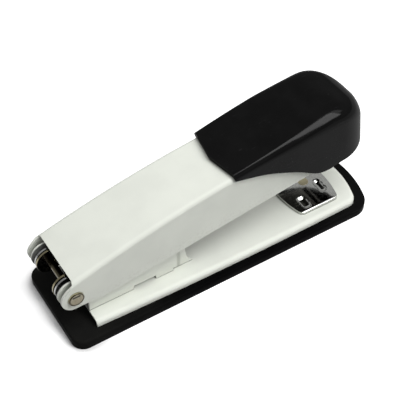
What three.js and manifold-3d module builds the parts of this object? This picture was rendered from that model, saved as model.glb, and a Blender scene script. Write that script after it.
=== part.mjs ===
// A full-strip desk stapler: painted steel cover, bracket and deck on a moulded pad, with a moulded nose cap.
//
// Lengths are in millimetres. Fixed pieces are drawn with x from the rear end of the pad towards the nose,
// y from the middle plane and z from the table. Pieces that swing are drawn about the hinge pin, level, in
// the frame of the magazine or of the arm, and their group then tilts them to their angle at rest.
import * as THREE from 'three';
import { mergeVertices } from 'three/addons/utils/BufferGeometryUtils.js';
import Module from 'manifold-3d';

const wasm = await Module();
wasm.setup();

// ---------------------------------------------------------------- driving dimensions

// clearances
const fitGap = 0.1; // between pieces fastened to each other
const seatGap = 0.3; // between pieces that rest against each other across a joint
const runGap = 0.05; // radial, of a shaft in its hole

// pad
const padLength = 150;
const padWidth = 46;
const padHeight = 4.3;
const padEdgeRound = 1;
const padRearCorner = 5.5;
const padFrontCorner = 9;
const padFrontArc = 49;

// deck, the pressed plate on the pad
const deckRear = 11.4;
const deckTop = 7.8;
const deckSheet = 1;
const deckEdgeRound = 2;
const deckRearHalf = 18.6;
const deckMidHalf = 20.2;
const deckFrontHalf = 19.7;
const deckFrontMargin = 5.8; // bare pad in front of the deck
const deckFrontCorner = 5;
const deckFrontArc = 44;

// hinge
const pinX = 5.3;
const pinZ = 23.6;
const pinRadius = 1.5;
const pinHeadRadius = 3.3;
const pinHeadThickness = 0.9;
const pinDimpleRadius = 1.3;
const pinDimpleDepth = 0.5;

// bracket, the U that stands on the deck and carries the pin
const bracketHalf = 12;
const bracketSheet = 1;
const bracketEarRadius = 6.1;
const bracketNeckAngle = 50; // of the ear's underside, where it meets the upright rear edge
const bracketWallLength = 39.2; // of the full-width wall, from the rear end of the deck
const bracketTongueLength = 10.4; // of the set-in wall in front of it, at its foot
const bracketSetIn = 0.8;
const bracketFrontHeight = 12.8; // of the front end above the deck
const bracketEndHollow = 4.4;
const bracketFootSlotAt = 20.6;
const bracketFootSlotLength = 10.4;
const bracketFootSlotHeight = 2;
const bracketFootSlotInward = 2.5; // how far it runs on into the web
const bracketHoleAt = 7.9;
const bracketHoleHeight = 6.4;
const bracketHoleRadius = 1.8;
const bracketRivetRadius = 1.5;
const bracketRivetHead = 2.8;
const bracketRivetHeadThickness = 1;
const bracketRivetsAt = [9.6, 33.6]; // from the rear end of the deck

// leaf spring under the magazine
const liftWidth = 8;
const liftSheet = 0.5;
const liftRear = 4.5; // its rear end, from the rear end of the deck
const liftFlat = 10; // length of the part that lies on the bracket
const liftReach = 43.5; // where it meets the magazine, from the rear end of the deck

// magazine, about the pin
const magTilt = 5.5;
const magHalf = 7.6;
const magSheet = 0.8;
const magEarRadius = 6;
const magDepth = 12; // underside below the pin
const magRim = 3; // upper edge of its walls below the pin
const magRear = 4;
const magRimStart = 16;
const noseGap = 2.1; // slot between the floor's end and the nose plate, where the staple leaves

// rail that the staples ride on
const railHalf = 5.6;
const railSheet = 0.7;
const railDepth = 5.2; // upper edge below the pin
const railRear = 28;
const rodRadius = 1.2;
const rodDepth = 7.9;
const rodHolderThickness = 1.2;

// staples
const stapleWidth = 12.9;
const stapleWire = 0.5;
const stapleLeg = 6;
const stripLength = 25;

// pusher and its spring
const pusherLength = 8;
const pusherWire = 0.3;
const pusherCoilRadius = 1.9;
const pusherPitch = 3.6;

// driver
const driverSheet = 0.6;
const driverWidth = 12.6;
const driverRest = 9; // lower edge of the blade below the pin
const driverTop = 11;
const driverSwing = 0.7; // room for the blade's arc on each side of it

// carrier, the inverted channel in the arm
const carrierHalf = 9.1;
const carrierSheet = 0.8;
const carrierEarRadius = 5.8;
const carrierWebTop = 2.8;
const carrierWebRear = 10;
const carrierDepth = 7.5;
const carrierTabLength = 15;
const carrierTabHalf = 8;
const driverRivetSpread = 3;
const driverRivetHeight = 7.5;
const driverRivetRadius = 1;
const driverRivetHead = 1.8;
const driverRivetHeadThickness = 0.5;
const coverRivetSetback = 7; // behind the blade
const coverRivetRadius = 1.25;
const coverRivetHead = 2.5;
const coverRivetHeadThickness = 0.9;

// coil that lifts the arm off the magazine
const returnAt = 20;
const returnWire = 0.5;
const returnCoilRadius = 3.6;
const returnTurns = 5;
const returnCupRadius = 4.5;
const returnCupThickness = 0.7;

// arm cover, about the pin
const armTilt = 7.8;
const armHalf = 15.3; // at the pin
const armSheet = 1;
const armTaper = 0.00066; // loss of width for each millimetre towards the nose
const armEarRadius = 6.3;
const armTopStart = 1.05; // rear edge of the top, in front of the pin
const armTopRear = 8.4; // upper face above the pin, at its rear edge
const armTopRise = 7;
const armTopFlatAt = 78; // where the upper face has finished rising
const armFrontReach = 4; // in front of the blade
const armDepth = 8.2;
const armRidge = 2.2;
const armHeelLength = 11.5; // from the pin to where the lower edge runs straight
const earFootAngle = 84; // below the level, where an ear's arc meets the lower edge

// cap
const capLength = 68.5; // from the two rear corners to the nose
const capNotch = 2.6; // how far the middle of the rear edge reaches behind the corners
const capNoseReach = 18; // in front of the blade
const capWall = 1.7;
const capRim = 6; // length over which the rear end hugs the cover
const capRearHalf = 15.8;
const capHalf = 17;
const capTopRear = 17.8;
const capTopPeak = 22;
const capNoseFall = 22; // length over which the top falls to the nose
const capDepth = 7.3; // lower edge of the nose below the pin
const capNoseExponent = 2.3; // 2 would make the nose's profile an ellipse
const capWideningRatio = 1.6; // how early the cap has its full width; 1 would be at the highest point
const capRidgeShare = 0.8; // the ridge's radius stays under this share of the half width
const capRidgeRear = 2.5;
const capRidgeFront = 7;
const capSkirt = [ // lower edge of its sides: shares of the cap's length, and of the drop to the nose's edge
  [0.015, 0.035], [0.204, 0.251], [0.409, 0.617], [0.54, 0.934], [0.628, 1.022], [0.745, 1],
];

// anvil
const spindleSetback = 25; // from the front end of the pad
const anvilRear = 13.9; // behind the spindle
const anvilFront = 10.3;
const anvilHalf = 15.4;
const anvilThickness = 1.5;
const anvilArc = 49;
const anvilCorner = 1.2;
const grooveAt = 6.3; // both pairs of hollows, from the spindle
const grooveDepth = 0.9;
const closedGroove = { y: 5, halfLength: 3.7, halfWidth: 1.7 };
const openGroove = { y: 10, halfLength: 4, halfWidth: 3 };
const spindleRadius = 1.5;
const spindleHead = 2.4;
const spindleHeadThickness = 0.7;
const buttonRadius = 6;
const buttonThickness = 2;
const buttonRecess = 0.6; // face of the button above the table
const buttonGap = 1;
const anvilWire = 0.45;
const anvilCoilRadius = 3.4;
const anvilTurns = 3;

// ---------------------------------------------------------------- worked out from them

const spindleX = padLength - spindleSetback;
const driverAt = spindleX + grooveAt - pinX; // the blade, from the pin, over the closed hollows
const coverRivetAt = driverAt - coverRivetSetback;
const armFront = driverAt + armFrontReach;
const capFront = driverAt + capNoseReach;
const capRear = capFront - capLength;
const capPeakAt = capFront - capNoseFall;
const deckFront = padLength - deckFrontMargin;
const bracketTip = deckRear + bracketWallLength + bracketTongueLength;
const anvilTop = deckTop + fitGap + anvilThickness;
const magFloorTop = -magDepth + magSheet;
const armInner = armHalf - armSheet;
const carrierInner = carrierHalf - carrierSheet;
const magInner = magHalf - magSheet;
const driverRearFace = driverAt - driverSheet / 2;
const driverFrontFace = driverAt + driverSheet / 2;
const floorFront = driverRearFace - driverSwing;
const noseRearFace = floorFront + noseGap;
const carrierWallRear = driverFrontFace + fitGap * 2;
const carrierFront = carrierWallRear + carrierSheet;
const stripFront = floorFront;
const stripRear = stripFront - stripLength;
const pusherFront = stripRear - fitGap * 2;
const railFront = floorFront - fitGap;
const relativeTilt = THREE.MathUtils.degToRad(armTilt - magTilt);

// ---------------------------------------------------------------- materials

const paint = (color, roughness, metalness = 0) =>
  new THREE.MeshStandardMaterial({ color, roughness, metalness });
const whiteEnamel = () => paint(0xdfe3da, 0.35);
const blackMoulding = () => paint(0x0c0c0d, 0.35);
const blackPad = () => paint(0x101011, 0.6);
const nickel = () => paint(0xb9bbbd, 0.25, 1);
const yellowZinc = () => paint(0xb8a15c, 0.35, 1);
const springSteel = () => paint(0x6d6f73, 0.4, 1);
const brightSteel = () => paint(0xa9abae, 0.3, 1);
const bronzePin = () => paint(0x8c7b5c, 0.35, 1);
const brass = () => paint(0xb79a5a, 0.35, 1);
const chrome = () => paint(0xd5d7d9, 0.06, 1);
const zincWire = () => paint(0xc4c6c8, 0.3, 1);

// ---------------------------------------------------------------- solids

const weldTolerance = 1e-4;
const boreSides = 16;
const wireSides = 3; // three.js doubles it round a circle

/** A closed three.js geometry as a solid that can be cut and joined. */
function solid(geometry) {
  const bare = geometry.clone();
  bare.deleteAttribute('normal');
  bare.deleteAttribute('uv');
  const welded = mergeVertices(bare, weldTolerance);
  return new wasm.Manifold(new wasm.Mesh({
    numProp: 3,
    vertProperties: new Float32Array(welded.attributes.position.array),
    triVerts: new Uint32Array(welded.index.array),
  }));
}

/** The geometry of a solid, once its cutting is done. */
function geometryOf(body) {
  const mesh = body.getMesh();
  const geometry = new THREE.BufferGeometry();
  geometry.setAttribute('position', new THREE.Float32BufferAttribute(mesh.vertProperties, 3));
  geometry.setIndex(new THREE.BufferAttribute(mesh.triVerts, 1));
  geometry.computeVertexNormals();
  return geometry;
}

const cut = (body, ...tools) => tools.reduce((rest, tool) => rest.subtract(tool), body);
const join = (...bodies) => bodies.reduce((whole, body) => whole.add(body));

/** A box between two corners. */
function block(x0, x1, y0, y1, z0, z1) {
  const box = new THREE.BoxGeometry(x1 - x0, y1 - y0, z1 - z0);
  box.translate((x0 + x1) / 2, (y0 + y1) / 2, (z0 + z1) / 2);
  return solid(box);
}

/** A shape drawn in plan, raised from z0 to z1. */
function raise(shape, z0, z1, curveSegments = 5) {
  const geometry = new THREE.ExtrudeGeometry(shape, { depth: z1 - z0, bevelEnabled: false, curveSegments });
  geometry.translate(0, 0, z0);
  return solid(geometry);
}

/** A shape drawn in side view, as x and z, spread from y = -half to y = half. */
function spread(shape, half, { curveSegments = 8, round = 0, roundSteps = 3 } = {}) {
  const geometry = new THREE.ExtrudeGeometry(shape, {
    depth: 2 * (half - round),
    bevelEnabled: round > 0,
    bevelSize: round,
    bevelThickness: round,
    bevelOffset: -round,
    bevelSegments: roundSteps,
    curveSegments,
  });
  geometry.translate(0, 0, -(half - round));
  geometry.rotateX(Math.PI / 2);
  return solid(geometry);
}

/** A plate in plan with its upper edge rounded. */
function roundedPlate(shape, z0, z1, round, roundSteps = 3, curveSegments = 5) {
  const below = 2 * round;
  const geometry = new THREE.ExtrudeGeometry(shape, {
    depth: z1 - z0 + below - round,
    bevelEnabled: true,
    bevelSize: round,
    bevelThickness: round,
    bevelOffset: -round,
    bevelSegments: roundSteps,
    curveSegments,
  });
  geometry.translate(0, 0, z0 - below);
  const reach = 2 * padLength;
  return solid(geometry).intersect(block(-reach, reach, -reach, reach, z0, z1 + round));
}

/** A solid of revolution about z, from [radius, height] pairs that start and end on the axis. */
function turned(profile, sides = boreSides) {
  const points = profile.map(([r, h]) => new THREE.Vector2(r, h));
  return new THREE.LatheGeometry(points, sides).rotateX(Math.PI / 2);
}

/** A plain round bar along z, y or x. */
function bar(radius, from, to, axis, at, sides = boreSides) {
  const geometry = new THREE.CylinderGeometry(radius, radius, to - from, sides);
  const middle = (from + to) / 2;
  if (axis === 'x') geometry.rotateZ(Math.PI / 2).translate(middle, at[0], at[1]);
  if (axis === 'y') geometry.translate(at[0], middle, at[1]);
  if (axis === 'z') geometry.rotateX(Math.PI / 2).translate(at[0], at[1], middle);
  return solid(geometry);
}

/** A flat ring or washer: a bar with a hole along it. */
const ring = (outer, inner, from, to, axis, at) =>
  cut(bar(outer, from, to, axis, at), bar(inner, from - outer, to + outer, axis, at));

/** A rivet with a flat head at each end, along an axis; heads stand outside from and to. */
function rivet(radius, head, headThickness, from, to, axis, at) {
  return join(
    bar(radius, from - headThickness / 2, to + headThickness / 2, axis, at),
    bar(head, from - headThickness, from, axis, at),
    bar(head, to, to + headThickness, axis, at),
  );
}

/** A helix of wire about z, from height z0 to z1 at the middle of the wire. */
function coil(radius, wire, z0, z1, turns, stepsPerTurn = 10) {
  class Helix extends THREE.Curve {
    getPoint(t, target = new THREE.Vector3()) {
      const angle = 2 * Math.PI * turns * t;
      return target.set(radius * Math.cos(angle), radius * Math.sin(angle), z0 + (z1 - z0) * t);
    }
  }
  const section = new THREE.Shape();
  section.absarc(0, 0, wire, 0, 2 * Math.PI);
  return new THREE.ExtrudeGeometry(section, {
    steps: Math.round(turns * stepsPerTurn),
    extrudePath: new Helix(),
    curveSegments: wireSides,
  });
}

/** A strip of sheet in side view: a line thickened downwards. */
function ribbon(points, thickness) {
  const upper = points.map(([x, z]) => new THREE.Vector2(x, z));
  const lower = upper.map((point, i) => {
    const before = upper[Math.max(i - 1, 0)];
    const after = upper[Math.min(i + 1, upper.length - 1)];
    const along = after.clone().sub(before).normalize();
    return new THREE.Vector2(point.x + along.y * thickness, point.y - along.x * thickness);
  });
  return new THREE.Shape([...upper, ...lower.reverse()]);
}

/** Outline in side view from plain [x, z] points. */
const outline = (points) => new THREE.Shape(points.map(([x, z]) => new THREE.Vector2(x, z)));

/** Points on a circle about the pin, from one angle to another, in degrees. */
function arcPoints(radius, fromDeg, toDeg, steps, centre = [0, 0]) {
  return Array.from({ length: steps + 1 }, (_, i) => {
    const angle = THREE.MathUtils.degToRad(fromDeg + ((toDeg - fromDeg) * i) / steps);
    return [centre[0] + radius * Math.cos(angle), centre[1] + radius * Math.sin(angle)];
  });
}

// ---------------------------------------------------------------- outlines in plan

const leastCorner = 0.5;

/** Straight rear end with round corners, sides that may bow, and a bowed front end between round corners. */
function tongue({ rear, front, rearHalf, midHalf, frontHalf, rearCorner, frontCorner, frontArc }, inset = 0) {
  const [x0, x1] = [rear + inset, front - inset];
  const [h0, hm, h1] = [rearHalf - inset, midHalf - inset, frontHalf - inset];
  const [c0, c1] = [rearCorner, frontCorner].map((corner) => Math.max(corner - inset, leastCorner));
  const arc = frontArc - inset;
  const arcX = x1 - arc;
  const cornerY = h1 - c1;
  const cornerX = arcX + Math.sqrt((arc - c1) ** 2 - cornerY ** 2);
  const turn = Math.atan2(cornerY, cornerX - arcX);
  const middle = (x0 + cornerX) / 2;
  const shape = new THREE.Shape();
  shape.moveTo(x0, h0 - c0);
  shape.lineTo(x0, -(h0 - c0));
  shape.absarc(x0 + c0, -(h0 - c0), c0, Math.PI, 1.5 * Math.PI, false);
  if (hm !== h0) shape.quadraticCurveTo(middle, -(2 * hm - (h0 + h1) / 2), cornerX, -h1);
  shape.absarc(cornerX, -cornerY, c1, -Math.PI / 2, -turn, false);
  shape.absarc(arcX, 0, arc, -turn, turn, false);
  shape.absarc(cornerX, cornerY, c1, turn, Math.PI / 2, false);
  if (hm !== h0) shape.quadraticCurveTo(middle, 2 * hm - (h0 + h1) / 2, x0 + c0, h0);
  shape.absarc(x0 + c0, h0 - c0, c0, Math.PI / 2, Math.PI, false);
  return shape;
}

const padOutline = {
  rear: 0, front: padLength, rearHalf: padWidth / 2, midHalf: padWidth / 2, frontHalf: padWidth / 2,
  rearCorner: padRearCorner, frontCorner: padFrontCorner, frontArc: padFrontArc,
};
const deckOutline = {
  rear: deckRear - 3 * deckEdgeRound, front: deckFront, rearHalf: deckRearHalf, midHalf: deckMidHalf,
  frontHalf: deckFrontHalf, rearCorner: 1.5 * deckEdgeRound, frontCorner: deckFrontCorner,
  frontArc: deckFrontArc,
};

/** Two straight sides between bowed ends. */
function barrel(rear, front, half, arc, corner) {
  const shape = new THREE.Shape();
  const cornerY = half - corner;
  const drop = arc - Math.sqrt(arc ** 2 - cornerY ** 2);
  const turn = Math.asin(cornerY / arc);
  shape.absarc(front - arc, 0, arc, -turn, turn, false);
  shape.quadraticCurveTo(front - drop, half, front - drop - corner, half);
  shape.lineTo(rear + drop + corner, half);
  shape.quadraticCurveTo(rear + drop, half, rear + drop, cornerY);
  shape.absarc(rear + arc, 0, arc, Math.PI - turn, Math.PI + turn, false);
  shape.quadraticCurveTo(rear + drop, -half, rear + drop + corner, -half);
  shape.lineTo(front - drop - corner, -half);
  shape.quadraticCurveTo(front - drop, -half, front - drop, -cornerY);
  return shape;
}

// ---------------------------------------------------------------- base

const rivetXs = bracketRivetsAt.map((at) => deckRear + at);
const reachAll = 2 * padLength;

function basePad() {
  const plateauTop = deckTop - deckSheet;
  const plateau = raise(tongue(deckOutline, deckSheet + fitGap), 0, plateauTop)
    .intersect(block(deckRear, reachAll, -padWidth, padWidth, 0, plateauTop));
  const pocket = bar(buttonRadius + buttonGap, -padHeight, deckTop, 'z', [spindleX, 0], 28);
  const pits = rivetXs.map((x) => bar(bracketRivetHead + buttonGap, padHeight, deckTop, 'z', [x, 0]));
  return cut(join(roundedPlate(tongue(padOutline), 0, padHeight, padEdgeRound), plateau), pocket, ...pits);
}

function basePlate() {
  const skin = roundedPlate(tongue(deckOutline), padHeight + fitGap / 2, deckTop, deckEdgeRound, 4);
  const hollow = raise(tongue(deckOutline, deckSheet), 0, deckTop - deckSheet);
  const rearEnd = block(-reachAll, deckRear, -reachAll, reachAll, -reachAll, reachAll);
  const spindleHole = bar(anvilCoilRadius, 0, reachAll, 'z', [spindleX, 0]);
  const holes = rivetXs.map((x) => bar(bracketRivetRadius + runGap, 0, reachAll, 'z', [x, 0]));
  return cut(skin, hollow, rearEnd, spindleHole, ...holes);
}

function hingeBracket() {
  const foot = deckTop;
  const wallEnd = deckRear + bracketWallLength;
  const frontTop = foot + bracketFrontHeight;
  const ear = [pinX, pinZ];
  const earArc = arcPoints(bracketEarRadius, -bracketNeckAngle, -270, 18, ear);
  const wall = outline([
    [wallEnd, foot], [deckRear, foot], [deckRear, earArc[0][1]], ...earArc,
    [wallEnd, frontTop + bracketSheet],
  ]);
  const tongueTop = bracketTip - bracketEndHollow;
  const front = new THREE.Shape();
  front.moveTo(wallEnd - bracketSheet, foot);
  front.lineTo(bracketTip, foot);
  front.quadraticCurveTo(tongueTop, foot + bracketSheet, tongueTop, frontTop);
  front.lineTo(wallEnd - bracketSheet, frontTop + bracketSheet);
  const innerHalf = bracketHalf - bracketSheet;
  const tongueInner = innerHalf - bracketSetIn;
  const outer = join(spread(wall, bracketHalf), spread(front, bracketHalf - bracketSetIn));
  const web = foot + bracketSheet;
  const slotX = deckRear + bracketFootSlotAt;
  const slotEnd = slotX + bracketFootSlotLength;
  const slotTop = foot + bracketFootSlotHeight;
  const slotInner = innerHalf - bracketFootSlotInward;
  const holeAt = [deckRear + bracketHoleAt, foot + bracketHoleHeight];
  return cut(
    outer,
    block(-reachAll, wallEnd, -innerHalf, innerHalf, web, reachAll),
    block(wallEnd - bracketSheet, reachAll, -tongueInner, tongueInner, web, reachAll),
    block(tongueTop, reachAll, -tongueInner, tongueInner, 0, reachAll),
    block(slotX, slotEnd, -reachAll, -slotInner, 0, slotTop),
    block(slotX, slotEnd, slotInner, reachAll, 0, slotTop),
    bar(bracketHoleRadius, -reachAll, reachAll, 'y', holeAt),
    bar(pinRadius + runGap, -reachAll, reachAll, 'y', ear),
    ...rivetXs.map((x) => bar(bracketRivetRadius + runGap, 0, reachAll, 'z', [x, 0])),
  );
}

/** A rivet holds the bracket to the deck; anything it clamps on top raises its upper head. */
function bracketRivet(at, clamped) {
  const under = deckTop - deckSheet - fitGap;
  const over = deckTop + bracketSheet + fitGap + clamped;
  const middle = [deckRear + at, 0];
  return rivet(bracketRivetRadius, bracketRivetHead, bracketRivetHeadThickness, under, over, 'z', middle);
}

/** A leaf that lies on the bracket, rises to the magazine and turns down again at its tip. */
function liftSpring() {
  const lying = deckTop + bracketSheet + fitGap + liftSheet;
  const reachX = deckRear + liftReach;
  const tilt = THREE.MathUtils.degToRad(magTilt);
  const touch = pinZ - magDepth / Math.cos(tilt) + (reachX - pinX) * Math.tan(tilt) - seatGap;
  const start = deckRear + liftRear;
  const bend = start + liftFlat;
  const steps = 10;
  const rise = Array.from({ length: steps }, (_, i) => {
    const share = (i + 1) / steps;
    return [bend + (reachX - bend) * share, lying + (touch - lying) * share ** 2 * (2 - share)];
  });
  const tip = [[reachX + 3 * liftSheet, touch], [reachX + 8 * liftSheet, touch - liftSheet * 1.6]];
  const leaf = spread(ribbon([[start, lying], [bend, lying], ...rise, ...tip], liftSheet), liftWidth / 2);
  return cut(leaf, bar(bracketRivetRadius + runGap, 0, reachAll, 'z', [rivetXs[0], 0]));
}

/** The pin, headed over at both ends, with a dimple in each head. */
function hingePin() {
  const end = armHalf + fitGap + pinHeadThickness;
  const half = [
    [0, end - pinDimpleDepth], [pinDimpleRadius * 0.6, end - pinDimpleDepth], [pinDimpleRadius, end],
    [pinHeadRadius * 0.75, end - runGap], [pinHeadRadius, end - pinHeadThickness * 0.6],
    [pinHeadRadius, end - pinHeadThickness], [pinRadius, end - pinHeadThickness],
  ];
  const profile = [...half, ...half.map(([r, h]) => [r, -h]).reverse()].reverse();
  return solid(turned(profile, 24).rotateX(Math.PI / 2).translate(pinX, 0, pinZ));
}

/** Keeps the magazine and the carrier midway between the bracket's ears. */
function hingeSpacer(side) {
  const from = carrierHalf + seatGap / 2;
  const to = bracketHalf - bracketSheet - seatGap / 2;
  const span = side > 0 ? [from, to] : [-to, -from];
  return ring(pinRadius * 2, pinRadius + runGap, ...span, 'y', [pinX, pinZ]);
}

// ---------------------------------------------------------------- anvil

/** A long hollow in the anvil's face. */
function hollowIn(x, y, { halfLength, halfWidth }) {
  const ball = new THREE.SphereGeometry(1, 12, 8);
  ball.scale(halfWidth, halfLength, grooveDepth).translate(x, y, anvilTop);
  return solid(ball);
}

function anvilPlate() {
  const plan = barrel(spindleX - anvilRear, spindleX + anvilFront, anvilHalf, anvilArc, anvilCorner);
  const plate = raise(plan, deckTop + fitGap, anvilTop);
  const hollows = [-1, 1].flatMap((side) => [
    hollowIn(spindleX + grooveAt, side * closedGroove.y, closedGroove),
    hollowIn(spindleX - grooveAt, side * openGroove.y, openGroove),
  ]);
  const seat = bar(spindleHead + runGap, anvilTop - spindleHeadThickness, reachAll, 'z', [spindleX, 0]);
  const hole = bar(spindleRadius + runGap, 0, reachAll, 'z', [spindleX, 0]);
  return cut(plate, ...hollows, seat, hole);
}

function anvilSpindle() {
  const head = anvilTop - spindleHeadThickness + fitGap / 2;
  return join(
    bar(spindleHead, head, anvilTop + fitGap, 'z', [spindleX, 0]),
    bar(spindleRadius, buttonRecess + fitGap, head + fitGap, 'z', [spindleX, 0]),
  );
}

function anvilButton() {
  const top = buttonRecess + buttonThickness;
  return cut(
    roundedButton(buttonRecess, top),
    bar(spindleRadius + runGap, -padHeight, reachAll, 'z', [spindleX, 0]),
  );
}

function roundedButton(z0, z1) {
  const soft = buttonThickness / 4;
  const profile = [
    [0, z0], [buttonRadius - soft, z0], [buttonRadius, z0 + soft], [buttonRadius, z1], [0, z1],
  ];
  return solid(turned(profile, 28).translate(spindleX, 0, 0));
}

function anvilSpring() {
  const lower = buttonRecess + buttonThickness + fitGap + anvilWire;
  const upper = deckTop - deckSheet - fitGap - anvilWire;
  return coil(anvilCoilRadius + 1, anvilWire, lower, upper, anvilTurns).translate(spindleX, 0, 0);
}

// ---------------------------------------------------------------- magazine, about the pin

function magazineChannel() {
  const front = noseRearFace - fitGap / 2;
  const down = THREE.MathUtils.radToDeg(Math.acos(magRear / magEarRadius));
  const side = outline([
    [magRear, -magDepth], ...arcPoints(magEarRadius, -down, -285, 20),
    [magRimStart, -magRim], [front, -magRim], [front, -magDepth],
  ]);
  return cut(
    spread(side, magHalf),
    block(-reachAll, reachAll, -magInner, magInner, magFloorTop, reachAll),
    block(-reachAll, magRear, -magInner, magInner, -reachAll, reachAll),
    block(floorFront, reachAll, -magInner, magInner, -reachAll, reachAll),
    bar(pinRadius + runGap, -reachAll, reachAll, 'y', [0, 0]),
  );
}

function nosePlate() {
  return block(noseRearFace, noseRearFace + magSheet, -magHalf, magHalf, -magDepth, -magRim);
}

function stapleRail() {
  const floor = magFloorTop + runGap;
  const stopRear = railFront - railSheet;
  const inner = railHalf - railSheet;
  return cut(
    block(railRear, railFront, -railHalf, railHalf, floor, -railDepth),
    block(0, stopRear, -inner, inner, floor + railSheet, reachAll),
    bar(rodRadius + runGap, 0, reachAll, 'x', [0, -rodDepth]),
  );
}

function rodHolder() {
  const inner = railHalf - railSheet - runGap;
  const bottom = magFloorTop + railSheet + 2 * runGap;
  return cut(
    block(railRear, railRear + rodHolderThickness, -inner, inner, bottom, -railDepth),
    bar(rodRadius + runGap, -reachAll, reachAll, 'x', [0, -rodDepth]),
  );
}

function pusherRod() {
  return bar(rodRadius, railRear - rodHolderThickness, railFront, 'x', [0, -rodDepth], 12);
}

function stapleStrip() {
  const crownTop = -railDepth + seatGap + stapleWire;
  const half = stapleWidth / 2;
  const inner = half - stapleWire;
  return cut(
    block(stripRear, stripFront, -half, half, crownTop - stapleLeg, crownTop),
    block(0, reachAll, -inner, inner, -reachAll, crownTop - stapleWire),
  );
}

/** A saddle over the rail: a core in its groove, a back across the top, and a skirt outside each wall. */
function pusher() {
  const rear = pusherFront - pusherLength;
  const top = -railDepth + seatGap + 3 * stapleWire;
  const skirt = stapleWidth / 2;
  const slack = 2 * fitGap;
  const groove = (side) => {
    const [a, b] = [side * (railHalf - railSheet - slack), side * (railHalf + slack)];
    return block(0, reachAll, Math.min(a, b), Math.max(a, b), -reachAll, -railDepth + slack);
  };
  const underCore = block(0, reachAll, -railHalf, railHalf, -reachAll, magFloorTop + 2 * railSheet);
  return cut(
    block(rear, pusherFront, -skirt, skirt, magFloorTop + seatGap, top),
    groove(-1), groove(1), underCore,
    bar(rodRadius + runGap, 0, reachAll, 'x', [0, -rodDepth]),
  );
}

function pusherSpring() {
  const from = railRear + rodHolderThickness + pusherWire + fitGap;
  const to = pusherFront - pusherLength - pusherWire - fitGap;
  const turns = Math.round((to - from) / pusherPitch);
  const upright = coil(pusherCoilRadius, pusherWire, from, to, turns, 8);
  return upright.rotateY(Math.PI / 2).translate(0, 0, -rodDepth);
}

const carrierWebUnder = carrierWebTop - carrierSheet;
const returnTop = carrierWebUnder + returnAt * Math.sin(relativeTilt) - seatGap;

function returnSpring() {
  const from = magFloorTop + returnWire + fitGap;
  const to = returnTop - returnCupThickness - returnWire - fitGap;
  return coil(returnCoilRadius, returnWire, from, to, returnTurns).translate(returnAt, 0, 0);
}

/** Cup on top of the coil, with a stub that keeps the coil in place. */
function springCup() {
  const stub = returnCoilRadius - 2 * returnWire;
  return join(
    bar(returnCupRadius, returnTop - returnCupThickness, returnTop, 'z', [returnAt, 0]),
    bar(stub, returnTop - 4 * returnCupThickness, returnTop - returnCupThickness / 2, 'z', [returnAt, 0]),
  );
}

// ---------------------------------------------------------------- arm, about the pin

/** Height of the cover's upper face above the pin. */
function armTopAt(x) {
  const left = Math.max(armTopFlatAt - Math.max(x, 0), 0) / armTopFlatAt;
  return armTopRear + armTopRise * (1 - left ** 2);
}

const armTopSteps = 10;
function armTopLine(drop) {
  const line = Array.from({ length: armTopSteps + 1 }, (_, i) => (armTopFlatAt * i) / armTopSteps);
  return line.map((x) => [x, armTopAt(x) - drop]);
}

/** Narrows a solid towards the nose. */
function taper(body) {
  const geometry = geometryOf(body);
  const position = geometry.attributes.position;
  for (let i = 0; i < position.count; i += 1) {
    position.setY(i, position.getY(i) * (1 - armTaper * position.getX(i)));
  }
  return solid(geometry);
}

function armCover() {
  const past = 2 * armEarRadius;
  const front = armFront + past;
  const bulk = outline([
    [-past, -past], [-past, armTopRear], ...armTopLine(0), [front, armTopAt(front)], [front, -past],
  ]);
  const corner = Math.hypot(armTopStart, armTopRear);
  const tangent = Math.acos(armEarRadius / corner) + Math.atan2(armTopRear, armTopStart);
  const tangentDeg = THREE.MathUtils.radToDeg(tangent);
  const side = outline([
    [armFront, -armDepth], [armHeelLength, -armDepth],
    ...arcPoints(armEarRadius, -earFootAngle, -360 + tangentDeg, 20),
    [armTopStart, armTopRear], [armTopStart, 2 * armTopAt(front)], [armFront, 2 * armTopAt(front)],
  ]);
  const hollow = outline([
    [-past * 2, -past * 2], [-past * 2, armTopRear - armSheet], ...armTopLine(armSheet),
    [front + past, armTopAt(front) - armSheet], [front + past, -past * 2],
  ]);
  const body = spread(bulk, armHalf, { round: armRidge, roundSteps: 4 }).intersect(spread(side, 2 * armHalf));
  const behindTop = block(-past * 2, armTopStart, -armInner, armInner, 0, past);
  return cut(
    taper(cut(body, spread(hollow, armInner), behindTop)),
    bar(pinRadius + runGap, -2 * armHalf, 2 * armHalf, 'y', [0, 0]),
    bar(coverRivetRadius + runGap, 0, reachAll, 'z', [coverRivetAt, 0]),
  );
}

const carrierTabTop = armTopRear + armTopRise - armSheet - fitGap;

function driverCarrier() {
  const heel = carrierWebRear;
  const side = outline([
    [carrierFront, -carrierDepth], [heel, -carrierDepth],
    ...arcPoints(carrierEarRadius, -earFootAngle, -296, 20),
    [heel, carrierWebTop], [carrierFront, carrierWebTop],
  ]);
  const channel = cut(
    spread(side, carrierHalf),
    block(-reachAll, reachAll, -carrierInner, carrierInner, -reachAll, carrierWebUnder),
    block(-reachAll, heel, -carrierInner, carrierInner, -reachAll, reachAll),
    block(driverRearFace - driverSwing, reachAll, -carrierInner, carrierInner, -reachAll, reachAll),
  );
  const post = block(
    carrierWallRear, carrierFront, -carrierTabHalf - carrierSheet, carrierTabHalf + carrierSheet,
    carrierWebUnder - carrierSheet, carrierTabTop,
  );
  const tab = block(
    carrierFront - carrierTabLength, carrierFront, -carrierTabHalf, carrierTabHalf,
    carrierTabTop - carrierSheet, carrierTabTop,
  );
  const rivetHole = (side) => bar(
    driverRivetRadius + runGap, 0, reachAll, 'x', [side * driverRivetSpread, driverRivetHeight],
  );
  return cut(
    join(channel, post, tab),
    rivetHole(-1), rivetHole(1),
    bar(pinRadius + runGap, -reachAll, reachAll, 'y', [0, 0]),
    bar(coverRivetRadius + runGap, 0, reachAll, 'z', [coverRivetAt, 0]),
  );
}

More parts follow.
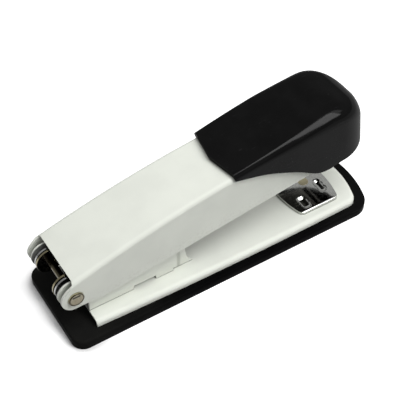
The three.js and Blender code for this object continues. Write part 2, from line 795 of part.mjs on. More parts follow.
function driverBlade() {
  const hole = (side) => bar(
    driverRivetRadius + runGap, 0, reachAll, 'x', [side * driverRivetSpread, driverRivetHeight],
  );
  const half = driverWidth / 2;
  return cut(block(driverRearFace, driverFrontFace, -half, half, -driverRest, driverTop), hole(-1), hole(1));
}

function driverRivet(side) {
  return rivet(
    driverRivetRadius, driverRivetHead, driverRivetHeadThickness,
    driverRearFace - runGap, carrierFront + runGap, 'x', [side * driverRivetSpread, driverRivetHeight],
  );
}

function coverRivet() {
  return rivet(
    coverRivetRadius, coverRivetHead, coverRivetHeadThickness,
    carrierTabTop - carrierSheet - runGap, armTopRear + armTopRise + runGap, 'z', [coverRivetAt, 0],
  );
}

// ---------------------------------------------------------------- cap, about the pin

/** Height, half width and ridge radius of the cap at one station, drawn in by its wall for the inside. */
function capSection(x, inset) {
  const front = capFront - inset;
  const nose = front - (capHalf - inset);
  const share = (x - capRear) / (capPeakAt - capRear);
  const along = Math.min(Math.max((x - capPeakAt) / (front - capPeakAt), 0), 1);
  const rising = capTopRear + (capTopPeak - capTopRear) * Math.min(share, 1);
  const falling = (1 - along ** capNoseExponent) ** (1 / capNoseExponent);
  const side = capRearHalf + (capHalf - capRearHalf) * Math.min(Math.max(share, 0) * capWideningRatio, 1);
  const half = x > nose ? Math.sqrt(Math.max((capHalf - inset) ** 2 - (x - nose) ** 2, 0)) : side - inset;
  const ridge = capRidgeRear + (capRidgeFront - capRidgeRear) * Math.min(Math.max(share, 0), 1) ** 2;
  return { top: (rising - inset) * falling, half, ridge: Math.min(ridge, half * capRidgeShare) };
}

const capFloor = -3 * capDepth;
const ridgeSteps = 5;

/** A ring of points across the cap at one station. */
function capRing(x, inset) {
  const { top, half, ridge } = capSection(x, inset);
  const corner = arcPoints(ridge, 0, 90, ridgeSteps, [half - ridge, top - ridge]);
  const right = [[half, capFloor], ...corner];
  const left = right.map(([y, z]) => [-y, z]).reverse();
  return [...right, ...left].map(([y, z]) => new THREE.Vector3(x, y, z));
}

/** A closed skin over rings that all have as many points. */
function loft(rings) {
  const count = rings[0].length;
  const positions = rings.flat().flatMap((point) => point.toArray());
  const index = [];
  for (let i = 0; i + 1 < rings.length; i += 1) {
    for (let j = 0; j < count; j += 1) {
      const [a, b] = [i * count + j, i * count + ((j + 1) % count)];
      index.push(a, b, b + count, a, b + count, a + count);
    }
  }
  const last = (rings.length - 1) * count;
  const caps = THREE.ShapeUtils.triangulateShape(rings[0].map((p) => new THREE.Vector2(p.y, p.z)), []);
  for (const [a, b, c] of caps) index.push(a, c, b, last + a, last + b, last + c);
  const geometry = new THREE.BufferGeometry();
  geometry.setAttribute('position', new THREE.Float32BufferAttribute(positions, 3));
  geometry.setIndex(index);
  return geometry;
}

/** Stations from the rear to the nose, closer together where the nose turns down. */
function capStations(from, inset) {
  const front = capFront - inset;
  const straight = [0, 0.35, 0.7].map((share) => from + (capPeakAt - from) * share);
  const turns = 9;
  const round = Array.from({ length: turns }, (_, i) => {
    const angle = ((i / turns) * Math.PI) / 2;
    return capPeakAt + (front - capPeakAt) * Math.sin(angle);
  });
  return [...straight, ...round, front - runGap];
}

function capBody(from, inset) {
  return solid(loft(capStations(from, inset).map((x) => capRing(x, inset))));
}

function cap() {
  const behind = capRear - 2 * capNotch;
  const coverTop = armTopRear + armTopRise;
  const rearEdge = outline([
    [0, -reachAll], [capRear, -capHalf], [capRear - capNotch, 0], [capRear, capHalf], [0, reachAll],
  ]);
  const skirt = new THREE.Shape();
  skirt.moveTo(0, capFloor - capWall);
  skirt.lineTo(0, coverTop);
  skirt.lineTo(capRear, coverTop);
  skirt.splineThru([...capSkirt, [1 + 1 / capLength, 1]].map(([along, down]) =>
    new THREE.Vector2(capRear + capLength * along, coverTop - (coverTop + capDepth) * down)));
  skirt.lineTo(capFront + 1, capFloor - capWall);
  const coverSide = armHalf + seatGap;
  const overCover = taper(
    block(0, armFront + seatGap, -coverSide, coverSide, -reachAll, coverTop + seatGap),
  );
  return cut(
    capBody(behind, 0),
    capBody(capRear + capRim, capWall),
    overCover,
    raise(rearEdge, -reachAll, reachAll),
    spread(skirt, 2 * capHalf, { curveSegments: 3 }),
  );
}

// ---------------------------------------------------------------- assembly

const stapler = new THREE.Group();
const reachRear = Math.min(0, pinX - armEarRadius);
stapler.position.x = -(reachRear + padLength) / 2;

/** A group of pieces drawn about the pin and then tilted, nose up. */
function swinging(tiltDeg) {
  const group = new THREE.Group();
  group.position.set(pinX, 0, pinZ);
  group.rotation.y = -THREE.MathUtils.degToRad(tiltDeg);
  stapler.add(group);
  return group;
}
const magazine = swinging(magTilt);
const arm = swinging(armTilt);

function place(group, name, shape, material) {
  const geometry = shape.isBufferGeometry ? shape : geometryOf(shape);
  const mesh = new THREE.Mesh(geometry, material);
  mesh.name = name;
  group.add(mesh);
}

place(stapler, 'base_pad', basePad(), blackPad());
place(stapler, 'base_plate', basePlate(), whiteEnamel());
place(stapler, 'hinge_bracket', hingeBracket(), whiteEnamel());
place(stapler, 'bracket_rivet_rear', bracketRivet(bracketRivetsAt[0], liftSheet + fitGap), nickel());
place(stapler, 'bracket_rivet_front', bracketRivet(bracketRivetsAt[1], 0), nickel());
place(stapler, 'lift_spring', liftSpring(), springSteel());
place(stapler, 'hinge_pin', hingePin(), bronzePin());
place(stapler, 'hinge_spacer_near', hingeSpacer(-1), brightSteel());
place(stapler, 'hinge_spacer_far', hingeSpacer(1), brightSteel());
place(stapler, 'anvil_plate', anvilPlate(), chrome());
place(stapler, 'anvil_spindle', anvilSpindle(), brass());
place(stapler, 'anvil_spring', anvilSpring(), springSteel());
place(stapler, 'anvil_button', anvilButton(), nickel());
place(magazine, 'magazine_channel', magazineChannel(), yellowZinc());
place(magazine, 'nose_plate', nosePlate(), yellowZinc());
place(magazine, 'staple_rail', stapleRail(), nickel());
place(magazine, 'rod_holder', rodHolder(), brightSteel());
place(magazine, 'pusher_rod', pusherRod(), brightSteel());
place(magazine, 'pusher', pusher(), brightSteel());
place(magazine, 'pusher_spring', pusherSpring(), springSteel());
place(magazine, 'staple_strip', stapleStrip(), zincWire());
place(magazine, 'return_spring', returnSpring(), springSteel());
place(magazine, 'spring_cup', springCup(), nickel());
place(arm, 'arm_cover', armCover(), whiteEnamel());
place(arm, 'driver_carrier', driverCarrier(), nickel());
place(arm, 'driver_blade', driverBlade(), brightSteel());
place(arm, 'driver_rivet_near', driverRivet(-1), nickel());
place(arm, 'driver_rivet_far', driverRivet(1), nickel());
place(arm, 'cover_rivet', coverRivet(), nickel());
place(arm, 'cap', cap(), blackMoulding());

export default stapler;
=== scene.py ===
"""A full-strip desk stapler, dressed for close viewing over its fixed frame.

Lengths are in metres, with x towards the nose, y across and z up from the table. Pieces that swing are drawn
level about the hinge pin, and leaned by the angle at which they rest.
"""

import math

import bmesh
import bpy
from bpy.props import FloatProperty, FloatVectorProperty, PointerProperty
from mathutils import Matrix, Vector


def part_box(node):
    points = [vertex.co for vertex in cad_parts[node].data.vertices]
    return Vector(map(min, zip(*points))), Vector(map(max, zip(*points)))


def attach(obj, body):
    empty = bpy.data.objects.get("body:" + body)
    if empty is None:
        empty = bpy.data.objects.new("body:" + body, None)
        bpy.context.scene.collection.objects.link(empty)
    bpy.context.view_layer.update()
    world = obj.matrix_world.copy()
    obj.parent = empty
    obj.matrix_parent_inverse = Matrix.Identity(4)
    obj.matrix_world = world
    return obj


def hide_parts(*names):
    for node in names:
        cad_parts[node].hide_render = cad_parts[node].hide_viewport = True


bl_info = {
    "name": "Desk stapler",
    "version": (1, 0, 0),
    "blender": (4, 5, 0),
    "location": "3D View > Sidebar > Stapler",
    "description": "Builds a desk stapler with an enamelled steel cover and a moulded cap",
    "category": "Object",
}

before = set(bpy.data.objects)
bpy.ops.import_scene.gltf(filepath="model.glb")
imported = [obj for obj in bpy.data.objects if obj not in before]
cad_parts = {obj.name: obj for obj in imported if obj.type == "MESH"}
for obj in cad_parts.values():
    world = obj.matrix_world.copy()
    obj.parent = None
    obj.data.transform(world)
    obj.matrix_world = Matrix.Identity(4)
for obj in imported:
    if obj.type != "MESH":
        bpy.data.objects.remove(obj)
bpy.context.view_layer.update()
PAD_LOW, PAD_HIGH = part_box("base_pad")
PIN_LOW, PIN_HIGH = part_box("hinge_pin")
PIN = Vector(((PIN_LOW.x + PIN_HIGH.x) / 2, 0, (PIN_LOW.z + PIN_HIGH.z) / 2))
DECK_LOW, DECK_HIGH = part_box("base_plate")
BRACKET_LOW, BRACKET_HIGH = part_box("hinge_bracket")
PLATE_LOW, PLATE_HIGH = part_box("anvil_plate")
SPINDLE_LOW, SPINDLE_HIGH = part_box("anvil_spindle")
SPINDLE_X = (SPINDLE_LOW.x + SPINDLE_HIGH.x) / 2
MM = 0.001
HAIR = 0.01 * MM  # lengths that differ by less are the same
FINE = 0.1 * MM  # softening of small hardware
FULL_LIGHT = (1, 1, 1)
QUARTER = math.pi / 2
FULL_TURN = 2 * math.pi


# ---------------------------------------------------------------- sizes and colours

def length(label, what, default):
    """A length that a user may change."""
    return FloatProperty(name=label, description=what, default=default, subtype="DISTANCE", unit="LENGTH",
                         precision=5)


def angle(label, what, default):
    """An angle that a user may change, given in degrees."""
    return FloatProperty(name=label, description=what, default=math.radians(default), subtype="ANGLE")


def linear(share):
    """A screen's share of full light, from 0 to 1, as the linear value that shaders use."""
    return share / 12.92 if share <= 0.04045 else ((share + 0.055) / 1.055) ** 2.4


def screen(*channels):
    """A colour as it looks on a screen, each channel from 0 to 255."""
    return tuple(linear(channel / 255) for channel in channels)


def paint(label, what, *channels):
    """A colour that a user may change, given as it looks on a screen."""
    return FloatVectorProperty(name=label, description=what, default=screen(*channels), subtype="COLOR",
                               size=len(channels), min=0, max=1)


class BaseSizes(bpy.types.PropertyGroup):
    """Pad, deck and anvil."""
    pad_edge: length("Pad edge", "Radius of the pad's upper edge", 1.0 * MM)
    pad_foot_edge: length("Pad foot edge", "Radius of the pad's lower edge", 0.15 * MM)
    pad_rear_corner: length("Pad rear corner", "Radius of the pad's rear corners in plan", 5.5 * MM)
    pad_front_corner: length("Pad front corner", "Radius of the pad's front corners in plan", 9 * MM)
    pad_front_arc: length("Pad front arc", "Radius of the bowed front end of the pad", 49 * MM)
    deck_sheet: length("Deck sheet", "Thickness of the deck's steel", 1 * MM)
    deck_edge: length("Deck edge", "Radius of the deck's rolled edge", 2 * MM)
    deck_rear_half: length("Deck rear half", "Half width of the deck at its rear end", 18.6 * MM)
    deck_mid_half: length("Deck middle half", "Half width of the deck midway", 20.2 * MM)
    deck_front_half: length("Deck front half", "Half width of the deck at its front corners", 19.7 * MM)
    deck_front_corner: length("Deck front corner", "Radius of the deck's front corners in plan", 5 * MM)
    deck_front_arc: length("Deck front arc", "Radius of the bowed front end of the deck", 44 * MM)
    anvil_edge: length("Anvil edge", "Radius of the anvil's rubbed edge at its bowed ends", 0.15 * MM)
    anvil_roll: length("Anvil roll", "Width of the rounded edge along the anvil's sides", 1.2 * MM)
    anvil_corner: length("Anvil corner", "Radius of the anvil's corners in plan", 1.6 * MM)
    anvil_arc: length("Anvil arc", "Radius of the anvil's bowed ends", 49 * MM)
    hollow_depth: length("Hollow depth", "Depth of the hollows that turn the staple's legs", 1.3 * MM)


class SwingingSizes(bpy.types.PropertyGroup):
    """Arm cover, cap and hinge pin."""
    arm_tilt: angle("Arm tilt", "Angle at which the arm rests, nose up", 7.8)
    cover_half: length("Cover half", "Half width of the arm cover at the pin", 15.3 * MM)
    cover_sheet: length("Cover sheet", "Thickness of the cover's steel", 1 * MM)
    cover_ridge: length("Cover ridge", "Radius of the fold between top and side", 1.9 * MM)
    cover_ear: length("Cover ear", "Radius of the round ears about the pin", 6.05 * MM)
    cover_start: length("Cover start", "Rear edge of the cover's top, in front of the pin", 1.05 * MM)
    cover_rear_top: length("Cover rear height", "Height of the cover's rear top above the pin", 8.4 * MM)
    cover_rise: length("Cover rise", "How much the top rises towards the nose", 7 * MM)
    cover_level: length("Cover level", "Distance from the pin at which the top has finished rising", 78 * MM)
    cover_front: length("Cover front", "Front end of the cover, from the pin", 130 * MM)
    cover_depth: length("Cover depth", "Lower edge of the cover's sides, below the pin", 8.2 * MM)
    cap_rear: length("Cap rear", "Rear corners of the cap, from the pin", 75.5 * MM)
    cap_notch: length("Cap notch", "How far the rear edge's middle reaches behind its corners", 2.6 * MM)
    cap_front: length("Cap front", "Tip of the cap's nose, from the pin", 144 * MM)
    cap_wall: length("Cap wall", "Thickness of the cap's wall", 1.7 * MM)
    cap_half: length("Cap half", "Half width of the cap at the nose", 17 * MM)
    cap_rear_half: length("Cap rear half", "Half width of the cap at its rear edge", 15.8 * MM)
    cap_peak: length("Cap peak", "Greatest height of the cap above the pin", 21.97 * MM)
    cap_rear_top: length("Cap rear height", "Height of the cap above the pin at its rear edge", 17.8 * MM)
    cap_ridge_rear: length("Cap ridge, rear", "Radius between the cap's top and side, at the rear", 2.5 * MM)
    cap_ridge_front: length("Cap ridge, front", "Radius between the cap's top and side, at the nose", 7 * MM)
    cap_crown: length("Cap crown", "How much lower the cap's top is at its ridges than midway", 0.35 * MM)
    pin_head: length("Pin head", "Radius of the pin's head", 3.3 * MM)
    pin_head_height: length("Pin head height", "Thickness of the pin's head", 0.9 * MM)
    pin_dimple: length("Pin dimple", "Radius of the dimple in the pin's head", 2.2 * MM)
    cut_edge: length("Cut edge", "Softening of the sheared edges of the steel", 0.2 * MM)


class Colours(bpy.types.PropertyGroup):
    """One colour for each finish."""
    enamel: paint("Enamel", "Painted steel of the cover, the bracket and the deck", 229, 232, 223)
    cap: paint("Cap", "Moulded cap", 13, 13, 13)
    pad: paint("Pad", "Moulded pad", 8, 8, 9)
    chrome: paint("Chrome", "Plating of the anvil", 192, 193, 189)
    nickel: paint("Nickel", "Plating of the carrier", 160, 161, 160)
    zinc: paint("Yellow zinc", "Plating of the magazine", 70, 69, 66)
    spring: paint("Spring steel", "Springs and spacers", 92, 94, 98)
    steel: paint("Bright steel", "Rail, blade and rivets", 165, 167, 170)
    bronze: paint("Bronze", "Hinge pin", 121, 116, 101)
    brass: paint("Brass", "Spindle of the anvil", 212, 204, 170)
    wire: paint("Staple wire", "Zinc-plated wire of the staples", 190, 192, 194)


# ---------------------------------------------------------------- finishes

class Reading:
    """A number that differs over a surface: one socket, whose arithmetic adds Math nodes."""

    def __init__(self, finish, socket):
        self.finish = finish
        self.socket = socket

    def maths(self, operation, *values):
        """Adds a Math node."""
        return self.finish.node("ShaderNodeMath", {"operation": operation}, dict(enumerate(values)))

    def __add__(self, other):
        return self.maths("ADD", self, other)

    __radd__ = __add__

    def __sub__(self, other):
        return self.maths("SUBTRACT", self, other)

    def __rsub__(self, other):
        return self.maths("SUBTRACT", other, self)

    def __mul__(self, other):
        return self.maths("MULTIPLY", self, other)

    __rmul__ = __mul__

    def size(self):
        """The number without its sign."""
        return self.maths("ABSOLUTE", self)

    def most(self, other):
        """The larger of two numbers."""
        return self.maths("MAXIMUM", self, other)

    def least(self, other):
        """The smaller of two numbers."""
        return self.maths("MINIMUM", self, other)

    def between(self, low, high):
        """0 below low and 1 above high, with a smooth step between them."""
        return self.finish.node("ShaderNodeMapRange", {"interpolation_type": "SMOOTHSTEP"},
                                {"Value": self, "From Min": low, "From Max": high})


AO_SAMPLES = 8


class Tree:
    """A node tree under construction, for a material or the world."""

    def __init__(self, tree):
        self.tree = tree
        tree.nodes.clear()

    def node(self, kind, settings=None, sockets=None, output=0):
        """Adds a node: its type, its settings, what its sockets hold, and the output that is read."""
        made = self.tree.nodes.new(kind)
        for key, value in (settings or {}).items():
            setattr(made, key, value)
        for key, value in (sockets or {}).items():
            if isinstance(value, Reading):
                self.tree.links.new(value.socket, made.inputs[key])
            else:
                made.inputs[key].default_value = value
        return Reading(self, made.outputs[output])

    def show(self, kind, shader):
        """Adds the output node and links the shader to it."""
        out = self.tree.nodes.new(kind)
        self.tree.links.new(shader, out.inputs["Surface"])

    def mix(self, share, first, second):
        """A colour between two others."""
        colour_sockets = {0: share, 6: first, 7: second}
        return self.node("ShaderNodeMix", {"data_type": "RGBA"}, colour_sockets, output=2)

    def place(self, stretch=(1, 1, 1)):
        """Where a point lies on the object, with its distances multiplied by stretch."""
        where = self.node("ShaderNodeTexCoord", output="Object")
        return self.node("ShaderNodeVectorMath", {"operation": "MULTIPLY"}, {0: where, 1: stretch})

    def along(self, axis):
        """How far along X, Y or Z a point lies."""
        where = self.node("ShaderNodeTexCoord", output="Object")
        return self.node("ShaderNodeSeparateXYZ", {}, {0: where}, axis)

    def distance(self, vector):
        """How long a vector is."""
        return self.node("ShaderNodeVectorMath", {"operation": "LENGTH"}, {0: vector}, output="Value")

    def covered(self, reach):
        """Share of the directions in which another surface stands within reach."""
        settings = {"samples": AO_SAMPLES}
        return 1 - self.node("ShaderNodeAmbientOcclusion", settings, {"Distance": reach}, output="AO")

    def noise(self, size, detail=2, stretch=(1, 1, 1), roughness=0.5):
        """Soft mottling whose marks are about as large as size."""
        return self.node("ShaderNodeTexNoise", {}, {
            "Vector": self.place(stretch), "Scale": 1 / size, "Detail": detail, "Roughness": roughness})

    def specks(self, spacing, radius):
        """1 inside small round specks scattered over the surface, 0 outside."""
        distance = self.node("ShaderNodeTexVoronoi", {}, {"Vector": self.place(), "Scale": 1 / spacing})
        chosen = self.noise(spacing * 3).between(0.55, 0.6)
        return (1 - distance.between(radius / spacing * 0.6, radius / spacing)) * chosen

    def edges(self):
        """1 on outer edges, 0 elsewhere."""
        pointed = self.node("ShaderNodeNewGeometry", output="Pointiness")
        return pointed.between(0.52, 0.62)


def opaque(colour):
    """A colour with full alpha, as sockets want it."""
    return (*colour, 1)


def stain(*channels):
    """A colour of dirt, wear or tarnish, each channel from 0 to 255."""
    return opaque(screen(*channels))


def shade(colour, factor):
    """The same colour, lighter or darker."""
    return opaque([min(channel * factor, 1) for channel in colour])


class Finish(Tree):
    """A material with its Principled shader. What differs over the surface is linked last."""

    def __init__(self, name, **constants):
        self.material = bpy.data.materials.new(name)
        self.material.use_nodes = True
        super().__init__(self.material.node_tree)
        self.shader = self.tree.nodes.new("ShaderNodeBsdfPrincipled")
        self.show("ShaderNodeOutputMaterial", self.shader.outputs["BSDF"])
        for key, value in constants.items():
            self.shader.inputs[key.replace("_", " ")].default_value = value

    def vary(self, colour=None, roughness=None, heights=()):
        """Links the colour, the roughness and the relief, in pairs of a height from 0 to 1 and its size."""
        normal = None
        for height, depth in heights:
            below = {"Normal": normal} if normal else {}
            bump = {"Height": height, "Distance": depth, "Strength": 1, **below}
            normal = self.node("ShaderNodeBump", {}, bump)
        for key, value in (("Base Color", colour), ("Roughness", roughness), ("Normal", normal)):
            if value:
                self.tree.links.new(value.socket, self.shader.inputs[key])
        return self.material


ENAMEL_DUST = stain(168, 165, 152)
ENAMEL_RUBBED = stain(205, 205, 196)
# Painted shade: a dark grey laid into corners and seams, where other surfaces stand close.
CORNER_SHADE_COLOUR = stain(66, 66, 62)
# Painted shade: a grey for faces inside the bracket and at the deck's rear edge that stand in shade.
PATCH_SHADE_GREY = stain(118, 119, 116)
CORNER_SHADE_REACH = 4 * MM  # of the painted shade in corners
SEAM_SHADE_REACH = 0.9 * MM  # of the painted shade line where two sheets meet
PEEL_DEPTH = 0.006 * MM  # of the orange peel
WAVE_DEPTH = 0.02 * MM  # of the sheet's own unevenness
JOGGLE_LENGTH = 2.2 * MM
JOGGLE_DEPTH = 1.1 * MM
PATCH_FADE = 2 * MM  # over which the painted shade patch fades lengthways and upwards
PATCH_SIDE_FADE = 0.2 * MM


def enamel_finish(name, colour, joggle_at=None, shade_patch=None):
    """Stove enamel on steel: an uneven gloss, orange peel, fine dust, rubbed edges, and painted shade in
    corners and along seams.

    Where joggle_at gives a place along x, the sheet is pressed into a step there. Where shade_patch gives a
    place along x, two places along y and a height, a grey of painted shade covers the faces behind the first
    place and between the next two, and the deck's rear edge below that height.
    """
    f = Finish(name, Specular_IOR_Level=0.12, Coat_Weight=0.01, Coat_Roughness=0.2)
    cloud = f.noise(14 * MM, detail=3)
    tone = f.mix(cloud.between(0.3, 0.7), shade(colour, 0.965), shade(colour, 1.015))
    dusty = f.mix(f.specks(2.4 * MM, 0.09 * MM) * 0.35, tone, ENAMEL_DUST)
    worn = f.edges() * f.noise(1.2 * MM).between(0.45, 0.7)
    rubbed = f.mix(worn * 0.3, dusty, ENAMEL_RUBBED)
    # Painted shade: darker in corners and along seams, where other surfaces cover the surroundings.
    corner_shaded = f.mix(f.covered(CORNER_SHADE_REACH).between(0.45, 0.9) * 0.75, rubbed, CORNER_SHADE_COLOUR)
    coloured = f.mix(f.covered(SEAM_SHADE_REACH).between(0.22, 0.55) * 0.6, corner_shaded, CORNER_SHADE_COLOUR)
    smear = f.noise(9 * MM, detail=4, stretch=(0.35, 1, 1)).between(0.42, 0.75)
    rough = 0.36 + smear * 0.1 + f.noise(0.8 * MM) * 0.04
    relief = [(f.noise(1.1 * MM, detail=1), PEEL_DEPTH), (f.noise(6 * MM), WAVE_DEPTH)]
    along, across, up = (f.along(axis) for axis in "XYZ")
    if joggle_at is not None:
        relief.append((along.between(joggle_at, joggle_at + JOGGLE_LENGTH), JOGGLE_DEPTH))
    if shade_patch is not None:
        behind, near, far, high = shade_patch
        rear = 1 - along.between(behind, behind + PATCH_FADE)
        past_near = across.between(near, near + PATCH_SIDE_FADE)
        before_far = 1 - across.between(far - PATCH_SIDE_FADE, far)
        end = 1 - along.between(DECK_LOW.x + FINE, DECK_LOW.x + 5 * FINE)
        low = 1 - up.between(high - PATCH_FADE, high)
        # Painted shade: these faces stand in shade and get a flat grey.
        patch_shade = (rear * past_near * before_far).most(end * low)
        coloured = f.mix(patch_shade, coloured, PATCH_SHADE_GREY)
    return f.vary(coloured, rough, relief)


MOULDING_SCUFF = stain(58, 58, 60)
MOULDING_DUST = stain(120, 118, 112)
SINK_DEPTH = 0.03 * MM  # of the moulding's slow waves
SHEEN_REAR = 62 * MM  # how far the painted sheen reaches in from each end
SHEEN_FRONT = 60 * MM


def moulded_finish(name, colour, roughness, grain, grain_depth, specular, coat=0, sheen_ends=None):
    """Black moulding: a fine sparked texture, faint smudges, hairline scuffs and a little dust.

    A painted sheen greys it towards both ends, given by the ends' places along x and the colour.
    """
    f = Finish(name, Specular_IOR_Level=specular, Coat_Weight=coat, Coat_Roughness=roughness)
    cloud = f.noise(10 * MM, detail=3).between(0.35, 0.7)
    tone = f.mix(cloud, shade(colour, 0.85), shade(colour, 1.25))
    if sheen_ends is not None:
        rear, front, grey = sheen_ends
        # Painted sheen: the moulding is lightened towards both ends, more at the rear.
        at_rear = 1 - f.along("X").between(rear, rear + SHEEN_REAR)
        at_front = f.along("X").between(front - SHEEN_FRONT, front)
        tone = f.mix((at_rear + at_front * 0.5) * (0.8 + cloud * 0.2), tone, grey)
    scuffs = f.noise(0.9 * MM, detail=3, stretch=(0.06, 1, 1)).between(0.66, 0.74)
    worn = f.mix(scuffs * 0.18 + f.edges() * 0.12, tone, MOULDING_SCUFF)
    dusty = f.mix(f.specks(2.6 * MM, 0.08 * MM) * 0.3, worn, MOULDING_DUST)
    smudge = f.noise(7 * MM, detail=4).between(0.45, 0.72)
    rough = roughness + smudge * 0.05 + scuffs * 0.12
    return f.vary(dusty, rough, [(f.noise(grain), grain_depth), (f.noise(12 * MM), SINK_DEPTH)])


# Draw marks are long along the axis whose share is small.
LONG_GRAIN = (0.05, 1, 1)
CROSS_GRAIN = (1, 0.2, 1)
EVEN_GRAIN = (1, 1, 1)
TARNISH = stain(96, 90, 78)
DRAW_DEPTH = 0.003 * MM  # of the marks that rolling and drawing leave
RIM_FADE = 5 * MM


def plated_finish(name, colour, roughness, grain=LONG_GRAIN, patina=TARNISH, tarnish=0.25, haze=0.1,
                  rim=None):
    """Plated steel: fine draw marks along the metal, clouding, and tarnish in patches.

    Where rim gives a colour and a place along x, the outer edges behind that place are lightened to the
    colour: worn golden edges, made light enough to be a painted highlight.
    """
    f = Finish(name, Metallic=1.0)
    marks = f.noise(0.35 * MM, detail=3, stretch=grain)
    cloud = f.noise(5 * MM, detail=4).between(0.45, 0.8)
    drawn = f.mix(marks.between(0.35, 0.65), shade(colour, 0.88), shade(colour, 1.06))
    stained = f.mix(cloud * tarnish, drawn, patina)
    bright = f.mix(f.edges() * 0.6, stained, shade(colour, 1.25))
    if rim is not None:
        wear_and_highlight_tint, reach = rim
        behind = 1 - f.along("X").between(reach, reach + RIM_FADE)
        bright = f.mix(f.edges() * behind, bright, wear_and_highlight_tint)
    rough = roughness + marks * haze + cloud * haze
    return f.vary(bright, rough, [(marks, DRAW_DEPTH)])


PIN_STAIN = stain(104, 92, 70)
PIN_TURNED = stain(206, 198, 166)
PIN_DARK_TONE = stain(44, 39, 29)
PIN_SHADOW_LINE = stain(16, 14, 10)
PIN_MARK_DEPTH = 0.006 * MM
# Each pair below is where a mark starts and where it is whole.
TURNED_SIDE = (PIN_HIGH.y - 0.5 * MM, PIN_HIGH.y - 0.35 * MM)
SHAFT_END = (PIN_HIGH.y - 3 * MM, PIN_HIGH.y - 2 * MM)
RIM_FACE = (PIN_HIGH.y - 0.5 * MM, PIN_HIGH.y - 0.3 * MM)
RIM_RADIUS = (2.45 * MM, 2.8 * MM)
RIM_SHIFT = 0.12  # how much the dark rim, painted shade of the head's side, is wider below than above
LINE_FOOT = (1.2 * MM, 1.45 * MM)
LINE_TOP = (2.1 * MM, 2.35 * MM)
LINE_END = (1.5 * MM, 1.8 * MM)


def pin_finish(colour):
    """Bronze plating with a bright turned side round each head, a darker shaft, and a dark rim round each
    head that is painted shade of the head's side, wider below.

    A painted shadow line lies near the top of each head, where a recess's upper lip would shade it.
    """
    f = Finish("bronze", Metallic=1.0)
    where = f.node("ShaderNodeTexCoord", output="Object")
    from_axis = f.node("ShaderNodeVectorMath", {"operation": "SUBTRACT"}, {0: where, 1: PIN})
    across, along, height = (f.node("ShaderNodeSeparateXYZ", {}, {0: from_axis}, axis) for axis in "XYZ")
    flattened = f.node("ShaderNodeVectorMath", {"operation": "MULTIPLY"}, {0: from_axis, 1: (1, 0, 1)})
    radius = f.distance(flattened)
    outwards = along.size()
    marks = f.noise(0.5 * MM, detail=3)
    cloud = f.noise(3 * MM, detail=4).between(0.4, 0.75)
    tone = f.mix(marks.between(0.35, 0.65), shade(colour, 0.86), shade(colour, 1.1))
    stained = f.mix(cloud * 0.3, tone, PIN_STAIN)
    turned = 1 - outwards.between(*TURNED_SIDE)
    stained = f.mix(turned, stained, PIN_TURNED)
    # Painted shadow: a dark line across the upper part of each head.
    line = height.between(*LINE_FOOT) * (1 - height.between(*LINE_TOP))
    line = line * (1 - across.size().between(*LINE_END))
    shaft = 1 - outwards.between(*SHAFT_END)
    # Painted shade: a dark ring round each head's face, wider below.
    rim = (radius - height * RIM_SHIFT).between(*RIM_RADIUS)
    rim = rim * outwards.between(*RIM_FACE)
    worn = f.mix((shaft * 0.9 + rim * 0.8).least(0.9), stained, PIN_DARK_TONE)
    line_shaded = f.mix(line, worn, PIN_SHADOW_LINE)
    return f.vary(line_shaded, 0.16 + marks * 0.1, [(marks, PIN_MARK_DEPTH)])


HALF_WIRE = 0.5 * MM  # half the width of one staple
STAPLE_GROOVE = stain(58, 58, 58)
GROOVE_DEPTH = 0.06 * MM
WAVE_SCALE = 6.3  # makes one wave about as long as a staple is wide


def staple_finish(colour):
    """A glued strip of wire staples: a fine groove between neighbours, and no two staples quite alike."""
    f = Finish("staple_wire", Metallic=1.0)
    bands = {"Vector": f.place(), "Scale": 1 / (HALF_WIRE * WAVE_SCALE), "Distortion": 0.0}
    rows = f.node("ShaderNodeTexWave", {"wave_type": "BANDS", "bands_direction": "X"}, bands, output="Fac")
    each = f.noise(HALF_WIRE, detail=0, stretch=(1, 0, 0)).between(0.3, 0.7)
    tone = f.mix(each, shade(colour, 0.9), shade(colour, 1.05))
    grooved = f.mix((1 - rows.between(0.0, 0.35)) * 0.7, tone, STAPLE_GROOVE)
    return f.vary(grooved, 0.25 + each * 0.12, [(rows, GROOVE_DEPTH)])


FINISHES = {}
DECK_PAINTED_LIGHT = 1.05  # the deck's enamel is painted a little lighter, standing in for more light on the deck
# Painted shade, a flat grey on faces that stand in shade: behind a place along x, between two along y, and
# below a height.
DECK_SHADE_PATCH = (DECK_LOW.x, -12.2 * MM, 15 * MM, 0)
BRACKET_INNER = BRACKET_HIGH.y - 0.6 * MM
BRACKET_SHADE_PATCH = (BRACKET_HIGH.x - 14 * MM, -BRACKET_INNER, BRACKET_INNER, BRACKET_LOW.z + 8 * MM)
BRACKET_JOGGLE = BRACKET_HIGH.x - 8.5 * MM
# Painted sheen on the pad's ends.
PAD_SHEEN = (PAD_LOW.x, PAD_HIGH.x, stain(28, 28, 27))
# Worn golden rim of the magazine's ears, lightened into a painted highlight.
ZINC_RIM_WEAR_AND_HIGHLIGHT = (stain(255, 240, 186), PIN.x + 8 * MM)


